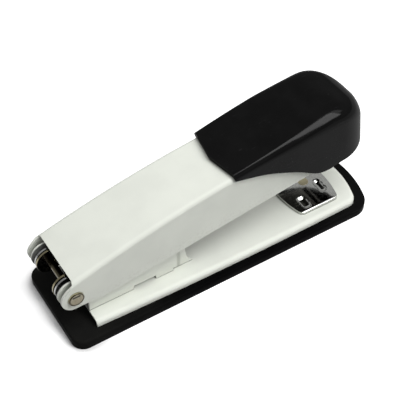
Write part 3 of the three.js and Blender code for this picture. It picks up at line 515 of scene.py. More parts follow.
def make_finishes(colours):
    """Every finish, by the name of its material slot or of the one piece that has it."""
    # Painted light: the same enamel, made lighter for the deck.
    deck_lit_colour = shade(colours.enamel, DECK_PAINTED_LIGHT)[:3]
    FINISHES.update({
        "white_enamel": enamel_finish("enamel", colours.enamel),
        "deck_enamel_lit": enamel_finish("deck_enamel_lit", deck_lit_colour, shade_patch=DECK_SHADE_PATCH),
        "bracket_enamel": enamel_finish("bracket_enamel", colours.enamel, BRACKET_JOGGLE, BRACKET_SHADE_PATCH),
        "cap_black": moulded_finish("cap_black", colours.cap, roughness=0.1, grain=0.5 * MM,
                                    grain_depth=0.0015 * MM, specular=0.0, coat=0.155),
        "pad": moulded_finish("pad_black", colours.pad, roughness=0.3, grain=0.35 * MM,
                              grain_depth=0.006 * MM, specular=0.004, sheen_ends=PAD_SHEEN),
        "chrome": plated_finish("chrome", colours.chrome, roughness=0.06, grain=CROSS_GRAIN,
                                patina=stain(120, 120, 120), tarnish=0.15, haze=0.04),
        "nickel": plated_finish("nickel", colours.nickel, roughness=0.14),
        "yellow_zinc": plated_finish("yellow_zinc", colours.zinc, roughness=0.12, patina=stain(44, 44, 43),
                                     tarnish=0.5, rim=ZINC_RIM_WEAR_AND_HIGHLIGHT),
        "spring_steel": plated_finish("spring_steel", colours.spring, roughness=0.22,
                                      patina=stain(52, 48, 46)),
        "bright_steel": plated_finish("bright_steel", colours.steel, roughness=0.25),
        "bronze": pin_finish(colours.bronze),
        "brass": plated_finish("brass", colours.brass, roughness=0.3, grain=EVEN_GRAIN,
                               patina=stain(130, 112, 80)),
        "staple_wire": staple_finish(colours.wire),
    })


# ---------------------------------------------------------------- mesh helpers

def sweep(centre, radius, start, end, steps):
    """Points on a circle, from one angle to another in degrees."""
    turns = [math.radians(turn) for turn in spaced(start, end, steps)]
    return [(centre[0] + radius * math.cos(a), centre[1] + radius * math.sin(a)) for a in turns]


def spaced(start, end, steps):
    """Evenly spaced numbers from start to end."""
    return [start + (end - start) * i / steps for i in range(steps + 1)]


def lean(tilt):
    """Turns what is drawn level about the pin to the angle at which it rests."""
    return Matrix.Translation(PIN) @ Matrix.Rotation(-tilt, 4, "Y")


def skin(mesh, rows):
    """Faces between rows of points; None leaves a place open."""
    grid = [[point and mesh.verts.new(point) for point in row] for row in rows]
    for near, far in zip(grid, grid[1:]):
        for i in range(len(near) - 1):
            corners = (near[i], near[i + 1], far[i + 1], far[i])
            if all(corners):
                mesh.faces.new(corners)
    return grid


def close_between(mesh, first, second):
    """Faces that join two borders point by point."""
    for i in range(len(first) - 1):
        mesh.faces.new((first[i], first[i + 1], second[i + 1], second[i]))


def add_modifier(piece, kind, **settings):
    """Adds a modifier with these settings."""
    made = piece.modifiers.new(kind.title(), kind)
    for key, value in settings.items():
        setattr(made, key, value)


SHARP = math.radians(48)  # edges that turn by more are softened
NORMAL_WEIGHT = 60


def soften(piece, width, segments=2):
    """Rounds the sharp edges a little and keeps flat faces flat."""
    add_modifier(piece, "BEVEL", width=width, segments=segments, limit_method="ANGLE", angle_limit=SHARP,
                 use_clamp_overlap=True)
    add_modifier(piece, "WEIGHTED_NORMAL", weight=NORMAL_WEIGHT, keep_sharp=True)


def make_piece(name, mesh, body, slot, stands_for, placed=None, sheet=0, edge=0, inside=None, finish=None):
    """Turns a mesh under construction into a piece of the stapler."""
    bmesh.ops.remove_doubles(mesh, verts=mesh.verts, dist=HAIR)
    if inside is None:
        bmesh.ops.recalc_face_normals(mesh, faces=mesh.faces)
    else:
        mesh.normal_update()
        facing = sum((face.calc_center_median() - inside).dot(face.normal) for face in mesh.faces)
        if facing < 0:
            bmesh.ops.reverse_faces(mesh, faces=mesh.faces)
    if placed:
        mesh.transform(placed)
    data = bpy.data.meshes.new(name)
    mesh.to_mesh(data)
    mesh.free()
    data.shade_smooth()
    data.set_sharp_from_angle(angle=SHARP)
    data.materials.append(FINISHES[finish or slot])
    piece = bpy.data.objects.new(name, data)
    bpy.context.scene.collection.objects.link(piece)
    if sheet:
        add_modifier(piece, "SOLIDIFY", thickness=sheet, offset=-1, use_even_offset=True)
    if edge:
        soften(piece, edge)
    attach(piece, body)
    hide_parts(*stands_for)
    return piece


def dress(node, slot, edge):
    """Gives a piece of the frame its finish and soft edges."""
    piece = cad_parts[node]
    data = piece.data
    for extra in [a for a in data.attributes if a.name == "custom_normal"]:
        data.attributes.remove(extra)
    data.shade_smooth()
    data.materials.clear()
    data.materials.append(FINISHES[slot])
    add_modifier(piece, "WELD", merge_threshold=HAIR)
    soften(piece, edge)


def lathe(profile, sides, axis_point):
    """A turned piece about a line along y through axis_point, from (radius, y) pairs."""
    mesh = bmesh.new()
    rows = []
    for radius, y in profile:
        rows.append([(axis_point.x + radius * math.cos(a), y, axis_point.z + radius * math.sin(a))
                     for a in spaced(0, FULL_TURN, sides)])
    skin(mesh, rows)
    return mesh


# ---------------------------------------------------------------- outlines in plan

CORNER_STEPS = 14
SIDE_STEPS = 30
FRONT_STEPS = 14
LEAST_CORNER = 0.5 * MM  # a smaller inset corner keeps this radius


class Tongue:
    """One side of a plan with a straight rear end, sides that may bow and a bowed front end."""

    def __init__(self, rear, front, rear_half, mid_half, front_half, rear_corner, front_corner, front_arc):
        self.rear, self.front = rear, front
        self.rear_half, self.mid_half, self.front_half = rear_half, mid_half, front_half
        self.rear_corner, self.front_corner, self.front_arc = rear_corner, front_corner, front_arc

    def side(self, inset, cut_at=None):
        """Points from the rear middle, or from where the sides are cut, to the front middle."""
        rear, front = self.rear + inset, self.front - inset
        half, mid, end = self.rear_half - inset, self.mid_half - inset, self.front_half - inset
        corner = max(self.rear_corner - inset, LEAST_CORNER)
        turn_radius = max(self.front_corner - inset, LEAST_CORNER)
        arc = self.front_arc - inset
        arc_x, corner_y = front - arc, end - turn_radius
        corner_x = arc_x + math.sqrt((arc - turn_radius) ** 2 - corner_y ** 2)
        turn = math.degrees(math.atan2(corner_y, corner_x - arc_x))
        start_x = rear + corner
        span = corner_x - start_x
        bow = 2 * mid - (half + end) / 2

        def bowed(share):
            """A point on the bowed side, from its rear end to its front end."""
            rest = 1 - share
            return start_x + span * share, half * rest ** 2 + 2 * bow * rest * share + end * share ** 2

        if cut_at is None:
            points = [(rear, 0), (rear, (half - corner) / 2)]
            points += sweep((start_x, half - corner), corner, 180, 90, CORNER_STEPS)
            points += [bowed(share) for share in spaced(0, 1, SIDE_STEPS)][1:]
        else:
            points = [bowed(share) for share in spaced((cut_at - start_x) / span, 1, SIDE_STEPS)]
        points += sweep((corner_x, corner_y), turn_radius, 90, turn, CORNER_STEPS)[1:]
        points += sweep((arc_x, 0), arc, turn, 0, FRONT_STEPS)[1:]
        return points

    def loop(self, inset, cut_at=None):
        """Both sides, from one rear end round the front to the other."""
        side = self.side(inset, cut_at)
        return side + [(x, -y) for x, y in side[-2::-1]]


def rolled(inset, height, radius, steps=8):
    """An upper edge rounded by radius: pairs of an inset and a height, from the side to the top."""
    return [(inset + radius * (1 - math.cos(a)), height - radius * (1 - math.sin(a)))
            for a in spaced(0, QUARTER, steps)]


# ---------------------------------------------------------------- base

PAD_RISE = 4.3 * MM
POCKET_RADIUS = 7 * MM
DECK_GAP = 1.1 * MM
DECK_EDGE_STEPS = 10
FOOT_STEPS = 3
FLAT_MARGIN = 0.3 * MM  # a narrow flat row beside a rounded edge


def pad_plan(s):
    """The pad seen from above."""
    half = PAD_HIGH.y
    return Tongue(PAD_LOW.x, PAD_HIGH.x, half, half, half, s.pad_rear_corner, s.pad_front_corner,
                  s.pad_front_arc)


def deck_plan(s):
    """The deck seen from above, before its rear end is cut straight."""
    behind = 3 * s.deck_edge
    return Tongue(DECK_LOW.x - behind, DECK_HIGH.x, s.deck_rear_half, s.deck_mid_half, s.deck_front_half,
                  behind / 2, s.deck_front_corner, s.deck_front_arc)


def build_pad(s):
    """The moulded pad, with the plateau that fills the deck and the round pocket of the button."""
    plan = pad_plan(s)
    deck = deck_plan(s)
    plateau = Tongue(DECK_LOW.x, deck.front, deck.rear_half, deck.mid_half, deck.front_half, deck.rear_corner,
                     deck.front_corner, deck.front_arc)
    foot = s.pad_foot_edge
    rings = [(plan, foot * (1 - math.sin(a)), foot * (1 - math.cos(a)))
             for a in spaced(0, QUARTER, FOOT_STEPS)]
    rings += [(plan, inset, z) for inset, z in rolled(0, PAD_RISE, s.pad_edge)]
    rings.append((plan, s.pad_edge + FLAT_MARGIN, PAD_RISE))
    top = DECK_HIGH.z - s.deck_sheet - HAIR
    rings += [(plateau, DECK_GAP, PAD_RISE), (plateau, DECK_GAP, top)]
    rows = [[(x, y, z) for x, y in shape.loop(inset)] for shape, inset, z in rings]

    def round_pocket(row, z):
        """The rim of the round pocket, point by point beside the row."""
        middle = Vector((SPINDLE_X, 0, z))
        flat = [Vector((x, y, z)) - middle for x, y, _ in row]
        return [middle + away.normalized() * POCKET_RADIUS for away in flat]

    rows.append(round_pocket(rows[-1], top))
    rows.insert(0, round_pocket(rows[0], 0))
    rows.append(rows[0])
    mesh = bmesh.new()
    skin(mesh, rows)
    return make_piece("moulded_pad", mesh, "base", "pad", ["base_pad"])


def build_deck(s, edge):
    """The pressed deck: a flat top with a rolled edge, open at its rear end."""
    plan = deck_plan(s)
    steps = [(0, DECK_LOW.z), *rolled(0, DECK_HIGH.z, s.deck_edge, DECK_EDGE_STEPS)]
    steps.append((s.deck_edge + FLAT_MARGIN, DECK_HIGH.z))
    mesh = bmesh.new()
    grid = skin(mesh, [[(x, y, z) for x, y in plan.loop(inset, DECK_LOW.x)] for inset, z in steps])
    last = grid[-1]
    count = len(last)
    for i in range(count // 2 - 1):
        mesh.faces.new((last[i], last[i + 1], last[count - 2 - i], last[count - 1 - i]))
    middle = count // 2
    mesh.faces.new((last[middle - 1], last[middle], last[middle + 1]))
    return make_piece("rolled_deck", mesh, "base", "white_enamel", ["base_plate"], sheet=s.deck_sheet,
                      edge=edge, inside=Vector((0, 0, 0)), finish="deck_enamel_lit")


# Each pair of hollows: distance from the spindle, inner end, outer end, half width.
HOLLOWS = ((4.9 * MM, 1.7 * MM, 9.8 * MM, 1.9 * MM), (-6.9 * MM, 6.6 * MM, 14 * MM, 2.2 * MM))
# Shares of a hollow's length, and of its depth there.
HOLLOW_FLOOR = ((0, 0), (0.21, 0.8), (0.33, 0.88), (0.74, 1), (0.89, 0.72), (1, 0))
HOLLOW_BOWL = 0.3  # how much of the rise to a hollow's sides is gentle
HOLLOW_ROUND = 4  # 2 would make a hollow's outline an ellipse
ROLL_FALL = 0.75 * MM
ANVIL_STEPS = (96, 110)  # along and across
ANVIL_EDGE_STEPS = 6
CAMBER_START = 5 * MM  # the plate is flat about the spindle and falls a little towards both ends
CAMBER_REAR = 110 * MM
CAMBER_FRONT = 68 * MM


def hollow_floor(along):
    """Share of a hollow's depth: a steep ramp from its inner end, a shallow floor and an abrupt outer end."""
    for (start, low), (end, high) in zip(HOLLOW_FLOOR, HOLLOW_FLOOR[1:]):
        if along <= end:
            return low + (high - low) * (along - start) / (end - start)
    return 0


def build_anvil(s):
    """The anvil: a plated plate with bowed ends, rubbed edges and two pairs of pressed hollows."""
    low, high = PLATE_LOW, PLATE_HIGH
    half = high.y
    edge = s.anvil_edge

    def end_drop(y):
        """How far the bowed end lies behind its middle, with its corner."""
        bow = s.anvil_arc - math.sqrt(s.anvil_arc ** 2 - y ** 2)
        past = max(abs(y) - (half - s.anvil_corner), 0)
        return bow + s.anvil_corner - math.sqrt(max(s.anvil_corner ** 2 - past ** 2, 0))

    def spread_out(start, end, steps, edge):
        """Places from start to end, closer together in the two rounded edges."""
        rim = [edge * (1 - math.cos(a)) for a in spaced(0, QUARTER, ANVIL_EDGE_STEPS)]
        inner = spaced(start + edge, end - edge, steps)
        return [start + r for r in rim[:-1]] + inner + [end - r for r in reversed(rim[:-1])]

    def height(x, y, to_end):
        """Height of the anvil's face, where to_end is the distance from its nearest end."""
        z = high.z
        for distance, reach, fall in ((to_end, edge, edge), (half - abs(y), s.anvil_roll, ROLL_FALL)):
            if distance < reach:
                z -= fall * (1 - math.sqrt(1 - (1 - distance / reach) ** 2))
        for ahead, inner, outer, wide in HOLLOWS:
            along = (abs(y) - inner) / (outer - inner)
            across = abs(x - SPINDLE_X - ahead) / wide
            if 0 < along < 1:
                across /= (1 - (2 * along - 1) ** HOLLOW_ROUND) ** (1 / HOLLOW_ROUND)
            if 0 < along < 1 and across < 1:
                wall = 1 - HOLLOW_BOWL * across ** 2 - (1 - HOLLOW_BOWL) * across ** 6
                z -= s.hollow_depth * hollow_floor(along) * wall
        past = max(abs(x - SPINDLE_X) - CAMBER_START, 0)
        return z - past * past / (2 * (CAMBER_FRONT if x > SPINDLE_X else CAMBER_REAR))

    rows = []
    for y in spread_out(-half, half, ANVIL_STEPS[1], s.anvil_roll):
        drop = end_drop(y)
        ends = (low.x + drop, high.x - drop)
        row = []
        for x in spread_out(*ends, ANVIL_STEPS[0], edge):
            row.append((x, y, height(x, y, max(min(x - ends[0], ends[1] - x), 0))))
        rows.append([(ends[0], y, low.z), *row, (ends[1], y, low.z)])
    mesh = bmesh.new()
    grid = skin(mesh, rows)
    for outer in (grid[0], grid[-1]):
        mesh.faces.new(outer)
    close_between(mesh, [row[0] for row in grid], [row[-1] for row in grid])
    return make_piece("plated_anvil", mesh, "anvil", "chrome", ["anvil_plate"])


# ---------------------------------------------------------------- arm cover and cap

COVER_TAPER = 0.66  # loss of width for each metre towards the nose
COVER_SIDE = (0, 0.15, 0.4, 0.7, 0.9, 1)  # rows up a side, as shares of its height
COVER_ROWS = (3 * MM, 6 * MM, 9 * MM)  # rows of points between the ear and the heel
COVER_BODY = 15 * MM  # the evenly spaced rows start here
COVER_STEPS = 46
FOLD_STEPS = 8
TOP_STEPS = 12
EAR_STEPS = 18
EAR_LEAVES = math.radians(-84)  # where the lower edge leaves the round ear
HEEL_END = 11.5 * MM  # where it reaches its full depth


def cover_top(s, x):
    """Height of the cover's upper face above the pin."""
    left = max(s.cover_level - max(x, 0), 0) / s.cover_level
    return s.cover_rear_top + s.cover_rise * (1 - left ** 2)


def build_cover(s):
    """The folded steel cover: top, two round folds and two sides that end in round ears."""
    ear, start, ridge = s.cover_ear, s.cover_start, s.cover_ridge
    corner = math.hypot(start, s.cover_rear_top)
    touch = math.acos(ear / corner) + math.atan2(s.cover_rear_top, start)
    touch_x, touch_z = ear * math.cos(touch), ear * math.sin(touch)
    heel_x = ear * math.cos(EAR_LEAVES)

    def lower(x):
        """Height of the lower edge."""
        if x > HEEL_END:
            return -s.cover_depth
        if x > heel_x:
            share = (x - heel_x) / (HEEL_END - heel_x)
            return -math.sqrt(ear ** 2 - heel_x ** 2) * (1 - share) - s.cover_depth * share
        return -math.sqrt(max(ear ** 2 - x ** 2, 0))

    def upper(x):
        """Height of the ear's upper edge, behind the top."""
        if x < touch_x:
            return math.sqrt(max(ear ** 2 - x ** 2, 0))
        return touch_z + (s.cover_rear_top - touch_z) * (x - touch_x) / (start - touch_x)

    def section(x):
        """One row of points, from the foot of one side over the top to the foot of the other."""
        with_top = x >= start - HAIR
        split = cover_top(s, x) - ridge
        high = cover_top(s, x) if with_top else upper(x)
        wall_top = min(split, high)
        bend = QUARTER if with_top else math.asin(min(max((high - split) / ridge, 0), 1))
        low = lower(x)
        side = [(s.cover_half, low + (wall_top - low) * share) for share in COVER_SIDE]
        side += [(s.cover_half - ridge * (1 - math.cos(a)), wall_top + ridge * math.sin(a))
                 for a in spaced(0, bend, FOLD_STEPS)[1:]]
        flat = s.cover_half - ridge - FLAT_MARGIN
        top = [(y, split + ridge) if with_top else None for y in spaced(flat, -flat, TOP_STEPS)]
        return side + top + [(-y, z) for y, z in reversed(side)]

    ear_turns = spaced(0, math.acos(-start / ear), EAR_STEPS)
    stations = [-ear * math.cos(a) for a in ear_turns]
    stations += [start + FLAT_MARGIN, *COVER_ROWS, HEEL_END, HEEL_END + FLAT_MARGIN]
    stations += spaced(COVER_BODY, s.cover_front, COVER_STEPS)
    rows = []
    for x in stations:
        narrow = 1 - COVER_TAPER * x
        rows.append([point and (x, point[0] * narrow, point[1]) for point in section(x)])
    mesh = bmesh.new()
    skin(mesh, rows)
    return make_piece("folded_cover", mesh, "arm", "white_enamel", ["arm_cover"], lean(s.arm_tilt),
                      sheet=s.cover_sheet, edge=s.cut_edge, inside=Vector((s.cover_front / 2, 0, 0)))


CAP_PEAK_AT = 122 * MM
CAP_FULLNESS = 2.3  # 2 would make the nose's profile an ellipse
CAP_RIM = 6 * MM  # length over which the rear hugs the cover
CAP_LIP = 0.4 * MM
CAP_BODY = 9 * MM  # the evenly spaced rows start this far in
CAP_GAP = 0.3 * MM
CAP_SOFTER = 2.2  # softening of its edges, in cut edges of the steel
CAP_SIDE = (0, 0.1, 0.35, 0.65, 0.9)  # rows up a side, as shares of its height
CAP_WIDENING = 1.6  # how much sooner the cap is at its full width than at its full height
RIDGE_MOST = 0.8  # the ridge's radius as a share of the half width, at most
NOTCH_LENGTH = 18 * MM
SKIRT_STEPS = 12
RIDGE_STEPS = 14
CROWN_STEPS = 16
CAP_STEPS = 22
NOSE_STEPS = 30
# The lower edge of the sides in mm: distances from the cap's rear, and heights above the pin.
SKIRT = ((0, 15.4), (1, 14.6), (14, 9.7), (28, 1.4), (37, -5.8), (43, -7.8), (51, -7.3), (69.5, -7.3))


def between_knots(before, start, end, after, t):
    """A smooth curve from start to end, as t goes from 0 to 1, that heeds the knots on both sides."""
    slope = end - before
    bend = 2 * before - 5 * start + 4 * end - after
    twist = 3 * start - before - 3 * end + after
    return ((2 * start) + slope * t + bend * t ** 2 + twist * t ** 3) / 2


def skirt_line(s):
    """A smooth line through the lower edge of the cap's sides, as a function of x."""
    knots = [(s.cap_rear + x * MM, z * MM) for x, z in SKIRT]
    ends = [knots[0], *knots, knots[-1]]
    line = []
    for nearby in zip(ends, ends[1:], ends[2:], ends[3:]):
        for t in spaced(0, 1, SKIRT_STEPS):
            line.append(tuple(between_knots(*values, t) for values in zip(*nearby)))

    def at(x):
        """Height of the lower edge above the pin."""
        for (x0, z0), (x1, z1) in zip(line, line[1:]):
            if x0 <= x <= x1 and x1 > x0:
                return z0 + (z1 - z0) * (x - x0) / (x1 - x0)
        return line[0][1] if x < line[0][0] else line[-1][1]

    return at


def build_cap(s):
    """The moulded cap: a rounded hood over the cover's front half, with a full nose and a swept edge."""
    skirt = skirt_line(s)

    def form(x, inset, hug):
        """Height, half width and ridge radius at one station."""
        front = s.cap_front - inset
        nose = front - (s.cap_half - inset)
        share = max((x - s.cap_rear) / (CAP_PEAK_AT - s.cap_rear), 0)
        along = min(max((x - CAP_PEAK_AT) / (front - CAP_PEAK_AT), 0), 1)
        rising = s.cap_rear_top + (s.cap_peak - s.cap_rear_top) * min(share, 1)
        falling = (1 - along ** CAP_FULLNESS) ** (1 / CAP_FULLNESS)
        widening = min(share * CAP_WIDENING, 1)
        half = s.cap_rear_half + (s.cap_half - s.cap_rear_half) * widening - inset
        if x > nose:
            half = math.sqrt(max((s.cap_half - inset) ** 2 - (x - nose) ** 2, 0))
        top = (rising - inset) * falling
        ridge = s.cap_ridge_rear + (s.cap_ridge_front - s.cap_ridge_rear) * min(share, 1) ** 2
        if hug:
            half = s.cover_half * (1 - COVER_TAPER * x) + CAP_GAP
            top, ridge = cover_top(s, x) + CAP_GAP, s.cover_ridge
        return top, half, min(ridge, half * RIDGE_MOST)

    def section(x, inset, hug):
        """One row of points, from the foot of one side over the top to the foot of the other."""
        top, half, ridge = form(x, inset, hug)
        spring = top - ridge
        foot = min(skirt(x), spring)
        side = [(half, foot + (spring - foot) * share) for share in CAP_SIDE]
        side += sweep((half - ridge, spring), ridge, 0, 90, RIDGE_STEPS)
        flat = half - ridge
        crown = [(y, top) for y in spaced(flat, -flat, CROWN_STEPS)[1:-1]]
        ring = side + crown + [(-y, z) for y, z in reversed(side)]
        drop = 0 if hug else s.cap_crown
        slack = max(half, HAIR)
        notch = s.cap_notch * max(1 - (x - s.cap_rear) / NOTCH_LENGTH, 0)
        above = max(top - foot, HAIR)
        return [(x - notch * (1 - abs(y) / slack), y, z - drop * (y / slack) ** 2 * (z - foot) / above)
                for y, z in ring]

    def stations(inset):
        """Places of the rows along x."""
        nose = s.cap_front - inset - CAP_PEAK_AT
        rim = [s.cap_rear + ahead for ahead in (0, CAP_LIP, CAP_RIM, CAP_RIM + FLAT_MARGIN)]
        body = spaced(s.cap_rear + CAP_BODY, CAP_PEAK_AT, CAP_STEPS)
        return rim + body + [CAP_PEAK_AT + nose * math.sin(a) for a in spaced(0, QUARTER, NOSE_STEPS)[1:]]

    mesh = bmesh.new()
    outer = skin(mesh, [section(x, 0, False) for x in stations(0)])
    rim_end = s.cap_rear + CAP_RIM + HAIR
    inner = skin(mesh, [section(x, s.cap_wall, x < rim_end) for x in stations(s.cap_wall)])
    close_between(mesh, outer[0], inner[0])
    for column in (0, -1):
        close_between(mesh, [row[column] for row in outer], [row[column] for row in inner])
    return make_piece("moulded_cap", mesh, "arm", "cap_black", ["cap"], lean(s.arm_tilt),
                      edge=CAP_SOFTER * s.cut_edge)


PIN_SHAFT = 1.5 * MM
PIN_RIM = 0.3 * MM
DIMPLE_DEPTH = 0.08 * MM
DIMPLE_MARGIN = 0.2 * MM
DIMPLE_STEPS = 8
PIN_RIM_STEPS = 5
PIN_SIDES = 56


def build_pin(s):
    """The hinge pin, headed over at both ends, with a soft dimple in each head."""
    end = PIN_HIGH.y
    under = end - s.pin_head_height
    dimple = [(s.pin_dimple * share, end - DIMPLE_DEPTH * (1 - share ** 4))
              for share in spaced(0, 1, DIMPLE_STEPS)]
    rim = [(s.pin_head - PIN_RIM * (1 - math.sin(a)), end - PIN_RIM * (1 - math.cos(a)))
           for a in spaced(0, QUARTER, PIN_RIM_STEPS)]
    half = dimple + [(s.pin_dimple + DIMPLE_MARGIN, end)] + rim + [(s.pin_head, under), (PIN_SHAFT, under)]
    profile = half + [(radius, -y) for radius, y in reversed(half)]
    mesh = lathe(profile, PIN_SIDES, PIN)
    return make_piece("headed_pin", mesh, "base", "bronze", ["hinge_pin"])


# ---------------------------------------------------------------- operators

SPRING_EDGE = FINE / 4


class STAPLER_OT_finishes(bpy.types.Operator):
    """Makes every finish from the colours"""
    bl_idname = "stapler.finishes"
    bl_label = "Finishes"

    def execute(self, context):
        make_finishes(context.scene.stapler_colours)
        return {"FINISHED"}


class STAPLER_OT_pad(bpy.types.Operator):
    """Builds the moulded pad"""
    bl_idname = "stapler.pad"
    bl_label = "Pad"

    def execute(self, context):
        build_pad(context.scene.stapler_base)
        return {"FINISHED"}


class STAPLER_OT_deck(bpy.types.Operator):
    """Builds the pressed deck"""
    bl_idname = "stapler.deck"
    bl_label = "Deck"

    def execute(self, context):
        build_deck(context.scene.stapler_base, context.scene.stapler_swinging.cut_edge)
        return {"FINISHED"}


class STAPLER_OT_bracket(bpy.types.Operator):
    """Dresses the bracket, its rivets and the leaf spring under the magazine"""
    bl_idname = "stapler.bracket"
    bl_label = "Bracket and leaf spring"

    def execute(self, context):
        dress("hinge_bracket", "bracket_enamel", 2 * context.scene.stapler_swinging.cut_edge)
        dress("lift_spring", "spring_steel", FINE)
        for node in ("bracket_rivet_rear", "bracket_rivet_front"):
            dress(node, "bright_steel", FINE)
        return {"FINISHED"}


class STAPLER_OT_hinge(bpy.types.Operator):
    """Builds the hinge pin and dresses its spacers"""
    bl_idname = "stapler.hinge"
    bl_label = "Hinge pin"

    def execute(self, context):
        build_pin(context.scene.stapler_swinging)
        for node in ("hinge_spacer_near", "hinge_spacer_far"):
            dress(node, "spring_steel", FINE)
        return {"FINISHED"}


class STAPLER_OT_anvil(bpy.types.Operator):
    """Builds the anvil and dresses its spindle, button and spring"""
    bl_idname = "stapler.anvil"
    bl_label = "Anvil"

    def execute(self, context):
        build_anvil(context.scene.stapler_base)
        dress("anvil_spindle", "brass", FINE)
        dress("anvil_button", "pad", FINE)
        dress("anvil_spring", "spring_steel", SPRING_EDGE)
        return {"FINISHED"}


class STAPLER_OT_magazine(bpy.types.Operator):
    """Dresses the magazine with its rail, rod, pusher, springs and staples"""
    bl_idname = "stapler.magazine"
    bl_label = "Magazine"

    def execute(self, context):
        for node, slot in (("magazine_channel", "yellow_zinc"), ("nose_plate", "yellow_zinc"),
                           ("staple_rail", "bright_steel"), ("rod_holder", "bright_steel"),
                           ("pusher_rod", "bright_steel"), ("pusher", "bright_steel"),
                           ("pusher_spring", "spring_steel"), ("staple_strip", "staple_wire"),
                           ("return_spring", "spring_steel"), ("spring_cup", "bright_steel")):
            dress(node, slot, SPRING_EDGE if node.endswith("spring") else FINE)
        return {"FINISHED"}


class STAPLER_OT_driver(bpy.types.Operator):
    """Dresses the carrier, the driver blade and their rivets"""
    bl_idname = "stapler.driver"
    bl_label = "Carrier and driver"

    def execute(self, context):
        for node, slot in (("driver_carrier", "nickel"), ("driver_blade", "bright_steel"),
                           ("driver_rivet_near", "bright_steel"), ("driver_rivet_far", "bright_steel"),
                           ("cover_rivet", "bright_steel")):
            dress(node, slot, FINE)
        return {"FINISHED"}


class STAPLER_OT_cover(bpy.types.Operator):
    """Builds the folded steel cover of the arm"""
    bl_idname = "stapler.cover"
    bl_label = "Arm cover"

    def execute(self, context):
        build_cover(context.scene.stapler_swinging)
        return {"FINISHED"}


class STAPLER_OT_cap(bpy.types.Operator):
    """Builds the moulded cap"""
    bl_idname = "stapler.cap"
    bl_label = "Cap"

    def execute(self, context):
        build_cap(context.scene.stapler_swinging)
        return {"FINISHED"}


# ---------------------------------------------------------------- stage

CAMERA_PLACE = (-0.1538, -0.2406, 0.3318)
CAMERA_TARGET = (0.00284, 0.0102, 0.015)
CAMERA_ROLL = math.radians(0.06)
CAMERA_LENS = 90.6  # mm
SENSOR_WIDTH = 36  # mm
FLOOR_SIZE = 12
SHADOW_REACH = (0.16, 0.34)  # distances from the middle between which the floor turns plain white
FLOOR_ALBEDO = 0.85
FLOOR_BOUNCE = 0.25  # what the floor throws back on the stapler
FLOOR_LIFT = 0.6  # a little of its own light, so that a weak shadow fades into the white
PAINTED_SHADOW_REACH = 14 * MM
PAINTED_SHADOW_SHARES = (0.03, 0.33)  # covered shares of the sky between which the lift fades into a painted shadow
PAINTED_SHADOW_END = (PAD_LOW.x + 5 * MM, PAD_LOW.x + 25 * MM)  # places between which that fading ends
NO_LIGHT = (0, 0, 0)
DOME_LEVEL = 0.5
HORIZON_LEVEL = 0.25
BACKDROP_TOP = (0.03, 0.1)  # sines of the elevations between which the white backdrop ends
DOME_RISE = (0.0, 0.5)  # sines of the elevations between which the dome brightens
LAMPS = (
    # name, place, target, size, watts
    ("key_softbox", (0.27, -0.44, 0.88), (0.0, 0.0, 0.02), (0.2, 1.15), 7.6),
    ("side_softbox", (0.47, -0.42, 0.8), (0.0, 0.0, 0.02), (0.18, 0.45), 0.8),
)


def aim(piece, target, roll=0):
    """Turns a camera or a lamp towards a place."""
    facing = (Vector(target) - piece.location).to_track_quat("-Z", "Y").to_matrix()
    piece.rotation_euler = (facing @ Matrix.Rotation(roll, 3, "Z")).to_euler()


def build_camera():
    """The camera, above the near side and towards the rear."""
    data = bpy.data.cameras.new("camera")
    data.sensor_width = SENSOR_WIDTH
    data.lens = CAMERA_LENS
    camera = bpy.data.objects.new("camera", data)
    camera.location = CAMERA_PLACE
    aim(camera, CAMERA_TARGET, CAMERA_ROLL)
    bpy.context.scene.collection.objects.link(camera)
    bpy.context.scene.camera = camera


def seen(tree):
    """1 where the camera, a mirror image or a view through glass shows the surface itself."""
    path = [tree.node("ShaderNodeLightPath", output=name)
            for name in ("Is Camera Ray", "Is Glossy Ray", "Is Transmission Ray")]
    return path[0].most(path[1]).most(path[2])


def build_floor():
    """A pale floor that turns plain white away from the stapler and keeps the shadow near it, with a painted
    shadow added close behind the pad.
    """
    mesh = bmesh.new()
    edge = FLOOR_SIZE / 2
    skin(mesh, [[(-edge, -edge, 0), (edge, -edge, 0)], [(-edge, edge, 0), (edge, edge, 0)]])
    data = bpy.data.meshes.new("floor")
    mesh.to_mesh(data)
    mesh.free()
    floor = bpy.data.objects.new("floor", data)
    floor.location.z = -HAIR
    bpy.context.scene.collection.objects.link(floor)
    material = bpy.data.materials.new("floor")
    material.use_nodes = True
    tree = Tree(material.node_tree)
    visible = seen(tree)
    paper = tree.mix(visible, shade(FULL_LIGHT, FLOOR_BOUNCE), shade(FULL_LIGHT, FLOOR_ALBEDO))
    lit = tree.node("ShaderNodeBsdfDiffuse", {}, {"Color": paper})
    # Painted shadow: near the pad's rear the floor's own light fades where the stapler covers the sky.
    covered = tree.covered(PAINTED_SHADOW_REACH)
    behind = 1 - tree.along("X").between(*PAINTED_SHADOW_END)
    unshadowed_share = 1 - covered.between(*PAINTED_SHADOW_SHARES) * behind
    bright = tree.mix(unshadowed_share, opaque(NO_LIGHT), opaque(FULL_LIGHT))
    glow = tree.node("ShaderNodeEmission", {}, {"Color": bright, "Strength": visible * FLOOR_LIFT})
    near = tree.node("ShaderNodeAddShader", {}, {0: lit, 1: glow})
    plain = tree.node("ShaderNodeEmission", {}, {"Color": opaque(FULL_LIGHT)})
    share = tree.distance(tree.place()).between(*SHADOW_REACH) * visible
    whole = tree.node("ShaderNodeMixShader", {}, {0: share, 1: near, 2: plain})
    tree.show("ShaderNodeOutputMaterial", whole.socket)
    data.materials.append(material)


